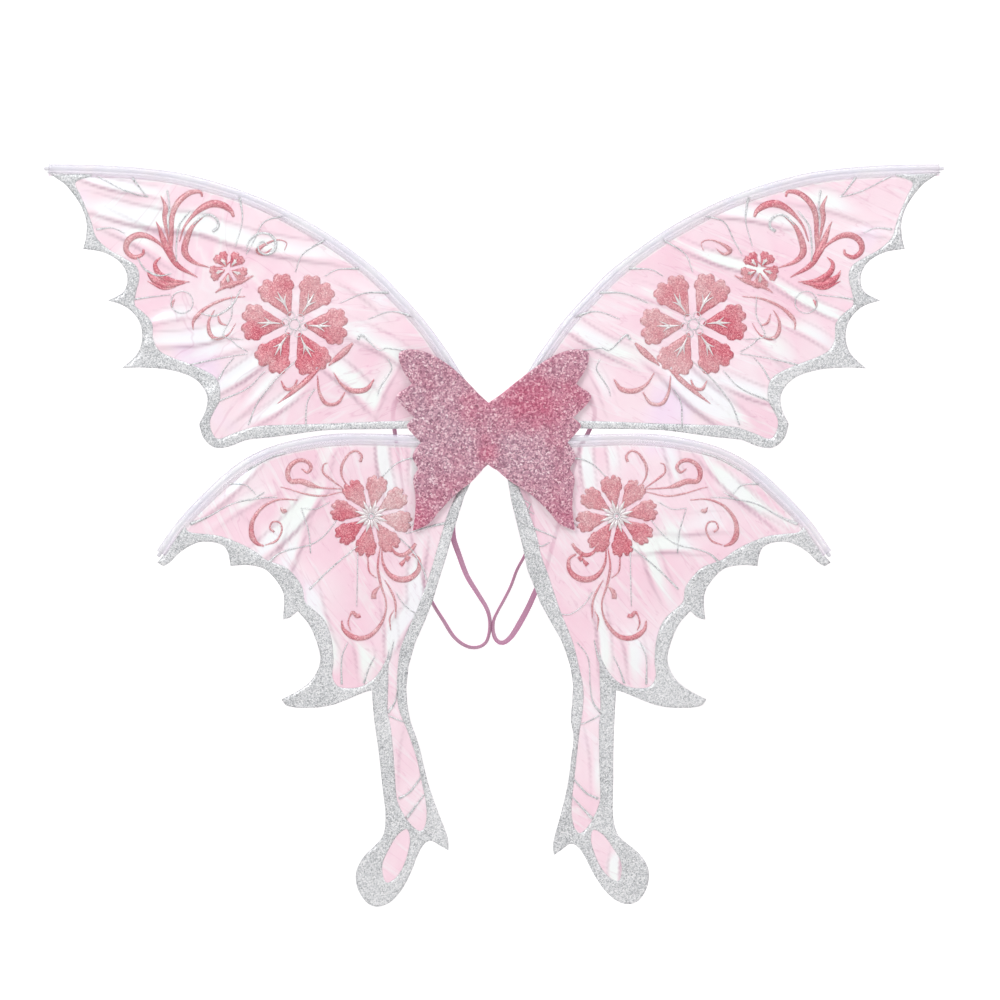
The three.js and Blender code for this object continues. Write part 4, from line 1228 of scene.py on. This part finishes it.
for word in sides:
    for level in ("upper", "lower"):
        line = curveThrough(wireLines[level], 2) * mm
        end, back = line[-1], line[-4]
        tangent = Vector(((end[0] - back[0]) * sides[word], 0, end[1] - back[1])).normalized()
        middle = Vector((end[0] * sides[word], filmY, end[1]))
        middle += tangent * (capSet["reach"] - capSet["length"] / 2)
        turned = Vector((1, 0, 0)).rotation_difference(tangent).to_matrix().to_4x4()
        cap = bpy.data.objects.new(f"{word}_{level}_vinyl_cap", capModel.data.copy())
        cap.data.transform(Matrix.Translation(middle) @ turned)
        bpy.context.scene.collection.objects.link(cap)
        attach(cap, f"{word}_wing")
        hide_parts(f"{word}_{level}_tip_cap")
bpy.data.objects.remove(capModel)
print("wire ends capped")

# glitter foam patch: two halves of 2 mm foam that meet in the pressed crease
patchSet = {"thick": 2.0, "edge": 0.7, "backEdge": 0.5, "spacing": 2.2, "crease": 1.3, "creaseWidth": 3.2}
creaseLine = [(-5.5, 31.0), (-7.8, -29.0)]
splitAt = -2.5  # the two halves meet beside the crease, on a line that nothing shows
notches = [(splitAt, 33.1), (splitAt, -33.4)]  # top and bottom of the waist
tiltShadeSpots = [  # painted light of the patch's tilt: x, z, reach in mm, and how much pinker where it is turned from the light; a negative amount greys it as painted reflection
    (-6, -20, 9, 0.6), (-6, -6, 12, 0.3), (44, 30, 30, 0.75), (84, 37, 15, 0.45), (-84, -86, 22, 0.9),
    (-22, 26, 17, 0.45), (70, -84, 18, 0.35), (18, 36, 18, 0.4), (-58, 4, 30, -0.25),
    (28, -16, 22, -0.35), (-40, -52, 16, 0.25), (60, -52, 16, 0.15), (-66, 66, 22, -0.05),
    (82, 70, 14, 0.1),
]


# the points of an outline farther out than the crease edge, leaning to the crease
def ringWithout(ring, cut):
    keep = [p for p in ring if abs(p[0]) > cut]
    first = max(range(len(keep)), key=lambda i: np.linalg.norm(keep[i] - keep[i - 1]))
    kept = np.array(keep[first:] + keep[:first])
    kept[:, 0] -= 4.6 * np.exp(-(kept[:, 0] / 28) ** 2)
    return kept


def foamSheet(name, ring, frontAt, thick, edge, material, dip=None, lift=None):
    # front face rounded over at its edge, back face flat, wall between them; y in mm
    flat, faces = fillRing(ring, [], patchSet["spacing"])
    near = distanceToLine(flat, roundTrip(ring))
    if dip:  # no rounding where the halves meet
        near = np.where(np.abs(flat[:, 0] - splitAt) < 1.2, np.minimum(near, 0) + edge, near)
    droop = np.where(near < edge, edge - np.sqrt(np.maximum(edge ** 2 - (edge - near) ** 2, 0)), 0)
    lifted = lift(flat) if lift else np.zeros(len(flat))
    front = frontAt - lifted + droop + (dip(flat) if dip else 0)
    back = frontAt - lifted + thick
    n = len(flat)
    verts = np.zeros((2 * n, 3))
    verts[:, 0] = np.tile(flat[:, 0], 2)
    verts[:, 1] = np.concatenate([front, back])
    verts[:, 2] = np.tile(flat[:, 1], 2)
    used = {(f[i], f[(i + 1) % len(f)]) for f in faces for i in range(len(f))}
    rim = [(a, b) for a, b in used if (b, a) not in used]
    solid = list(faces) + [tuple(n + i for i in reversed(f)) for f in faces]
    solid += [(b, a, n + a, n + b) for a, b in rim]
    piece = meshPiece(name, verts * mm, solid, material)
    makeActive(piece)
    bpy.ops.object.shade_smooth_by_angle(angle=math.radians(50))
    return piece


def roundTrip(ring):
    return np.vstack([ring, ring[:1]])


def creaseX(z):
    (xa, za), (xb, zb) = creaseLine
    return xa + (za - z) / (za - zb) * (xb - xa)


def creaseDip(flat):
    away = (flat[:, 0] - creaseX(flat[:, 1])) / patchSet["creaseWidth"]
    return patchSet["crease"] * np.exp(-away ** 2)


def lobeLift(flat):  # the cut lobes curl a little off the film
    x, z = flat[:, 0], flat[:, 1]
    curl = smoothstep(30, 100, np.hypot(x, z * 0.9)) * (0.9 + 0.5 * np.sin(0.11 * z + np.sign(x) * 0.8))
    wave = 0.35 * smoothstep(8, 40, np.abs(x)) * (1 + np.sin(0.05 * z + 0.07 * np.abs(x)))
    return curl + wave


for word in sides:
    ring = ringWithout(frontOutline(f"{word}_front_foam"), 7)
    if word == "right":
        joined = np.vstack([ring, notches])
    else:
        joined = np.vstack([ring, [creaseLine[1], notches[1], notches[0], creaseLine[0]]])
    ring = roundedRing(joined, 40, 1.6)
    half = foamSheet(f"{word}_glitter_half", ring, hubFrontY / mm, patchSet["thick"], patchSet["edge"],
                     foamGlitter, creaseDip, lobeLift)
    # the tone paints light and shade: greyer where the patch reflects the light, pinker where it is
    # turned away and in the crease
    pointValues(half, "tone", spotted(flatPlaces(half), 0.22, tiltShadeSpots))
    start, end = (1.0, 8.0) if word == "right" else (splitAt - 0.1, splitAt - 7.1)
    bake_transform(half)
    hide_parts(f"{word}_front_foam")
    backRing = roundedRing(frontOutline(f"{word}_back_foam"), 48, 2.0)
    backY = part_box(f"{word}_back_foam")[0].y / mm
    backer = foamSheet(f"{word}_foam_backer", backRing, backY, patchSet["thick"], patchSet["backEdge"],
                       plainFoam)
    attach(backer, f"{word}_wing")
    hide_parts(f"{word}_back_foam")
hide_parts("front_crease")
print("foam patch and backers cut")


# spine webbing: a stack of narrow webbing sewn down the crease
def bevelledBlock(name, low, high, bevel, segments, material):
    deselectAll()
    low, high = Vector(low), Vector(high)
    bpy.ops.mesh.primitive_cube_add(size=1, location=(low + high) / 2, scale=high - low)
    piece = bpy.context.object
    piece.name = name
    bpy.ops.object.transform_apply(location=True, rotation=True, scale=True)
    bpy.ops.object.mode_set(mode="EDIT")
    bpy.ops.mesh.select_all(action="SELECT")
    bpy.ops.mesh.bevel(offset=bevel, segments=segments, affect="EDGES")
    bpy.ops.object.mode_set(mode="OBJECT")
    bpy.ops.object.shade_smooth_by_angle(angle=math.radians(45))
    piece.data.materials.clear()
    piece.data.materials.append(material)
    return piece


spineSet = {"bands": 3, "gap": 0.08 * mm, "shorterBelow": 0.5 * mm, "shorterAbove": 0.4 * mm,
            "rounding": 0.7 * mm}
spineLow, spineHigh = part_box("spine_webbing")
for k in range(spineSet["bands"]):
    y0 = spineLow.y + (spineHigh.y - spineLow.y) * k / spineSet["bands"]
    y1 = spineLow.y + (spineHigh.y - spineLow.y) * (k + 1) / spineSet["bands"] - spineSet["gap"]
    band = bevelledBlock(f"spine_band_{k + 1}",
                         (spineLow.x, y0, spineLow.z + k * spineSet["shorterBelow"]),
                         (spineHigh.x, y1, spineHigh.z - k * spineSet["shorterAbove"]),
                         spineSet["rounding"], 3, webbingWeave)
    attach(band, "spine")
    if k == 0:
        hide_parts("spine_webbing")
print("spine webbing stacked")


# sewing thread: a row of short capsules, one between each pair of points, bowed out of the cloth
def threadRow(name, points, out, body):
    verts, faces = [], []
    profile = [(0.0, 0.02), (0.08, 0.16), (0.25, 0.25), (0.5, 0.28), (0.75, 0.25), (0.92, 0.16),
               (1.0, 0.02)]
    for a, b in points:
        a, b = Vector(a), Vector(b)
        along = (b - a).normalized()
        side = along.cross(out).normalized()
        first = len(verts)
        for share, radius in profile:
            for k in range(8):
                turn = k * math.pi / 4
                bow = out * (0.22 * mm * math.sin(math.pi * share))
                spoke = (side * math.cos(turn) + out * math.sin(turn)) * radius * mm
                verts.append(a.lerp(b, share) + bow + spoke)
        for r in range(len(profile) - 1):
            for k in range(8):
                i, j = first + r * 8 + k, first + r * 8 + (k + 1) % 8
                faces.append((i, j, j + 8, i + 8))
        faces.append(tuple(first + k for k in reversed(range(8))))
        faces.append(tuple(first + (len(profile) - 1) * 8 + k for k in range(8)))
    row = meshPiece(name, verts, faces, stitchThread)
    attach(row, body)
    return row


# webbing tabs: narrow webbing folded back on itself over the end of each loop
tabSet = {"length": 16, "width": 11, "thick": 1.1, "topPlace": (15, 13), "topTurn": 0.3,
          "bottomPlace": (12, -13), "bottomTurn": -1.08, "seamsIn": (5.5, 2.0), "stitches": 4,
          "stitchFrom": 1.4, "stitchEvery": 2.1, "stitchLong": 1.6, "stitchAt": -1.82}


def makeTab(word, which):
    low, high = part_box(f"{word}_{which}_tab")
    place, turn = tabSet[f"{which}Place"], tabSet[f"{which}Turn"]
    middle = Vector((place[0] * mm, (low.y + high.y) / 2, place[1] * mm))
    half, wide = tabSet["length"] / 2, tabSet["width"] / 2
    run = [(half, 1.3), (half - 3, 1.32), (0, 1.3), (-half + 3.2, 1.3), (-half + 1.8, 1.15),
           (-half + 0.95, 0.6), (-half + 0.8, 0), (-half + 0.95, -0.6), (-half + 1.8, -1.15),
           (-half + 3.2, -1.3), (0, -1.3), (half - 3, -1.32), (half, -1.3)]
    run = curveThrough(run, 0.8)
    across = np.linspace(-wide + 0.3, wide - 0.3, 9)

    def onTab(r, a, deep):  # along the tab, across it and deep, in mm, to its place
        x = r * math.cos(turn) - a * math.sin(turn)
        z = r * math.sin(turn) + a * math.cos(turn)
        return (middle.x + x * mm) * sides[word], middle.y + deep * mm, middle.z + z * mm

    verts = [onTab(r, a, d) for a in across for r, d in run]
    n = len(run)
    faces = [(k * n + i, k * n + i + 1, (k + 1) * n + i + 1, (k + 1) * n + i)
             for k in range(len(across) - 1) for i in range(n - 1)]
    tab = meshPiece(f"{word}_{which}_webbing_tab", verts, facesFor(word, faces), webbingWeave)
    applyModifier(tab, "SOLIDIFY", thickness=tabSet["thick"] * mm, offset=0.0)
    applyModifier(tab, "BEVEL", width=0.25 * mm, segments=2, limit_method="ANGLE",
                  angle_limit=math.radians(50))
    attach(tab, "spine")
    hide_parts(f"{word}_{which}_tab")
    stitches = []
    for seamIn in tabSet["seamsIn"]:
        for k in range(tabSet["stitches"]):
            a = -wide + tabSet["stitchFrom"] + k * tabSet["stitchEvery"]
            stitches.append([onTab(half - seamIn, b, tabSet["stitchAt"])
                             for b in (a, a + tabSet["stitchLong"])])
    threadRow(f"{word}_{which}_tab_stitches", stitches, Vector((0, -1, 0)), "spine")


for word in sides:
    makeTab(word, "top")
    makeTab(word, "bottom")
print("tabs folded and sewn")

# back pad: a sewn cover over soft foam, crowned, with a seam round its edge and pockets for the tabs
padSet = {"halfWide": 26.0, "halfHigh": 25.0, "corner": 9.0,
          "pocketDeep": 6, "pocketWide": 11.3, "pocketAt": -5.6, "pocketPast": 12.0,
          "seamIn": 4.0, "seamAt": -0.92, "stitches": 72, "stitchShare": 0.72}


# rounded rectangle, shrunk by the given mm
def padOutline(shrink, count=96):
    w, h = padSet["halfWide"] - shrink, padSet["halfHigh"] - shrink
    r = max(padSet["corner"] - shrink * 0.6, 2.0)
    points = []
    for k in range(count):
        angle = 2 * math.pi * k / count
        dx, dz = math.cos(angle), math.sin(angle)
        reach = min(w / max(abs(dx), 1e-6), h / max(abs(dz), 1e-6))
        x, z = dx * reach, dz * reach
        cx, cz = math.copysign(w - r, x), math.copysign(h - r, z)
        if abs(x) > w - r and abs(z) > h - r:  # in a corner: meet the rounding instead
            b = dx * cx + dz * cz
            reach = b + math.sqrt(max(b * b - (cx * cx + cz * cz) + r * r, 0))
            x, z = dx * reach, dz * reach
        points.append((x, z))
    return np.array(points)


padVerts, padFaces = [], []
# rings of the pad, rear then front: how far each is shrunk, and its depth
rear = [(0.0, -3.6), (0.15, -2.7), (0.9, -1.75), (2.0, -1.1), (3.4, -0.75), (4.0, -0.95), (4.6, -0.7),
        (7, -0.25), (11, -0.03), (16, 0.0), (21, 0.0)]
front = [(0.0, -3.7), (0.15, -4.6), (0.9, -5.6), (2.2, -6.3), (4.5, -6.65), (8, -6.8), (13, -6.8),
         (19, -6.8)]
ringCount = 96
for shrink, y in list(reversed(rear)) + front:
    for x, z in padOutline(shrink, ringCount):
        padVerts.append((x * mm, y * mm, z * mm))
rings = len(rear) + len(front)
for r in range(rings - 1):
    for k in range(ringCount):
        a, b = r * ringCount + k, r * ringCount + (k + 1) % ringCount
        padFaces.append((a, a + ringCount, b + ringCount, b))
padFaces.append(tuple(range(ringCount)))
padFaces.append(tuple(reversed(range((rings - 1) * ringCount, rings * ringCount))))
pad = meshPiece("soft_back_pad", padVerts, padFaces, padFabric)
facesOutward(pad)
cutters = []
for word in sides:
    for which in ("top", "bottom"):
        place, turn = tabSet[f"{which}Place"], tabSet[f"{which}Turn"]
        past = padSet["pocketPast"]
        deselectAll()
        pocket = Vector((tabSet["length"] + past, padSet["pocketDeep"], padSet["pocketWide"])) * mm
        bpy.ops.mesh.primitive_cube_add(size=1, scale=pocket)
        cutter = bpy.context.object
        bpy.ops.object.transform_apply(location=True, rotation=True, scale=True)
        spun = Matrix.Rotation(-turn, 4, "Y")
        middle = Vector((place[0], padSet["pocketAt"], place[1])) * mm
        middle += spun @ Vector((past / 2 * mm, 0, 0))
        cutter.data.transform(Matrix.Translation(middle) @ spun)
        if word == "left":
            cutter.data.transform(Matrix.Scale(-1, 4, (1, 0, 0)))
            cutter.data.flip_normals()
        cutters.append(cutter)
for cutter in cutters:
    applyModifier(pad, "BOOLEAN", operation="DIFFERENCE", object=cutter, solver="EXACT")
    bpy.data.objects.remove(cutter)
makeActive(pad)
bpy.ops.object.shade_smooth_by_angle(angle=math.radians(40))
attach(pad, "spine")
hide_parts("back_pad")
seam = padOutline(padSet["seamIn"], padSet["stitches"])
pairs = []
for a, b in zip(seam, np.roll(seam, -1, axis=0)):
    c = a + (b - a) * padSet["stitchShare"]
    pairs.append([Vector((p[0], padSet["seamAt"], p[1])) * mm for p in (a, c)])
threadRow("pad_seam_stitches", pairs, Vector((0, 1, 0)), "spine")
print("back pad sewn")


# stage: pale floor, pale backdrop close behind, seen from the front only, and soft lights
def plainMaterial(name, colour, roughness):  # matt painted board
    material = newMaterial(name)
    shader = addNode(material, "ShaderNodeBsdfPrincipled",
                     {"Base Color": hexColour(colour), "Roughness": roughness})
    addNode(material, "ShaderNodeOutputMaterial", {}, {"Surface": shader.outputs[0]})
    return material


# matt paper lit from behind, seen from its front face only, so that it hides nothing
def backdropMaterial():
    material = newMaterial("paperBackdrop")
    face = addNode(material, "ShaderNodeNewGeometry", {})
    matt = addNode(material, "ShaderNodeBsdfDiffuse", {"Color": hexColour("c8c8c8")})
    glow = addNode(material, "ShaderNodeEmission", {"Color": hexColour("ffffff"), "Strength": 0.62})
    paper = addNode(material, "ShaderNodeAddShader", {}, {0: matt.outputs[0], 1: glow.outputs[0]})
    clear = addNode(material, "ShaderNodeBsdfTransparent", {})
    mix = addNode(material, "ShaderNodeMixShader", {},
                  {"Fac": face.outputs["Backfacing"], 1: paper.outputs[0], 2: clear.outputs[0]})
    addNode(material, "ShaderNodeOutputMaterial", {}, {"Surface": mix.outputs[0]})
    return material


stageSet = {"floorDrop": 0.30, "floorSize": 3.0, "backdropGap": 0.16, "backdropSize": 2.4}
deselectAll()
bpy.ops.mesh.primitive_circle_add(vertices=96, radius=stageSet["floorSize"] / 2, fill_type="NGON",
                                  location=(0, 0, cadLow.z - stageSet["floorDrop"]))
floor = bpy.context.object
floor.name = "studio_floor"
floor.data.materials.append(plainMaterial("paleFloor", "f4f3f2", 0.6))
bpy.ops.mesh.primitive_plane_add(size=stageSet["backdropSize"], rotation=(math.radians(90), 0, 0),
                                 location=(0, cadHigh.y + stageSet["backdropGap"], -0.1))
backdrop = bpy.context.object
backdrop.name = "studio_backdrop"
backdrop.visible_shadow = False
backdrop.visible_diffuse = False  # its glow stays off the back of the wings
backdrop.visible_glossy = False
backdrop.data.materials.append(backdropMaterial())

lightSet = [  # name, place, size, watts, colour
    ("key_softbox", (-1.5, -2.4, 1.7), 1.0, 42, "ffffff"),
    ("side_strip", (1.9, -1.6, 0.5), 0.6, 9, "fff6fb"),
    ("top_strip", (0.2, -1.0, 2.0), 0.7, 11, "f6fbff"),
    ("rear_left", (-1.6, 2.4, 1.0), 1.4, 26, "ffffff"),
    ("rear_right", (1.8, 2.2, 0.4), 1.2, 18, "ffffff"),
]
for name, place, size, watts, colour in lightSet:
    aim = (Vector((0, 0, -0.1)) - Vector(place)).to_track_quat("-Z", "Y").to_euler()
    bpy.ops.object.light_add(type="AREA", location=place, rotation=aim)
    lamp = bpy.context.object
    lamp.name = name
    lamp.data.size = size
    lamp.data.energy = watts
    lamp.data.color = hexColour(colour)[:3]

world = bpy.data.worlds.new("softStudio")
bpy.context.scene.world = world
world.use_nodes = True
world.node_tree.nodes["Background"].inputs["Color"].default_value = hexColour("ffffff")
world.node_tree.nodes["Background"].inputs["Strength"].default_value = 0.49
bpy.context.scene.view_settings.view_transform = "Standard"
print("stage set")
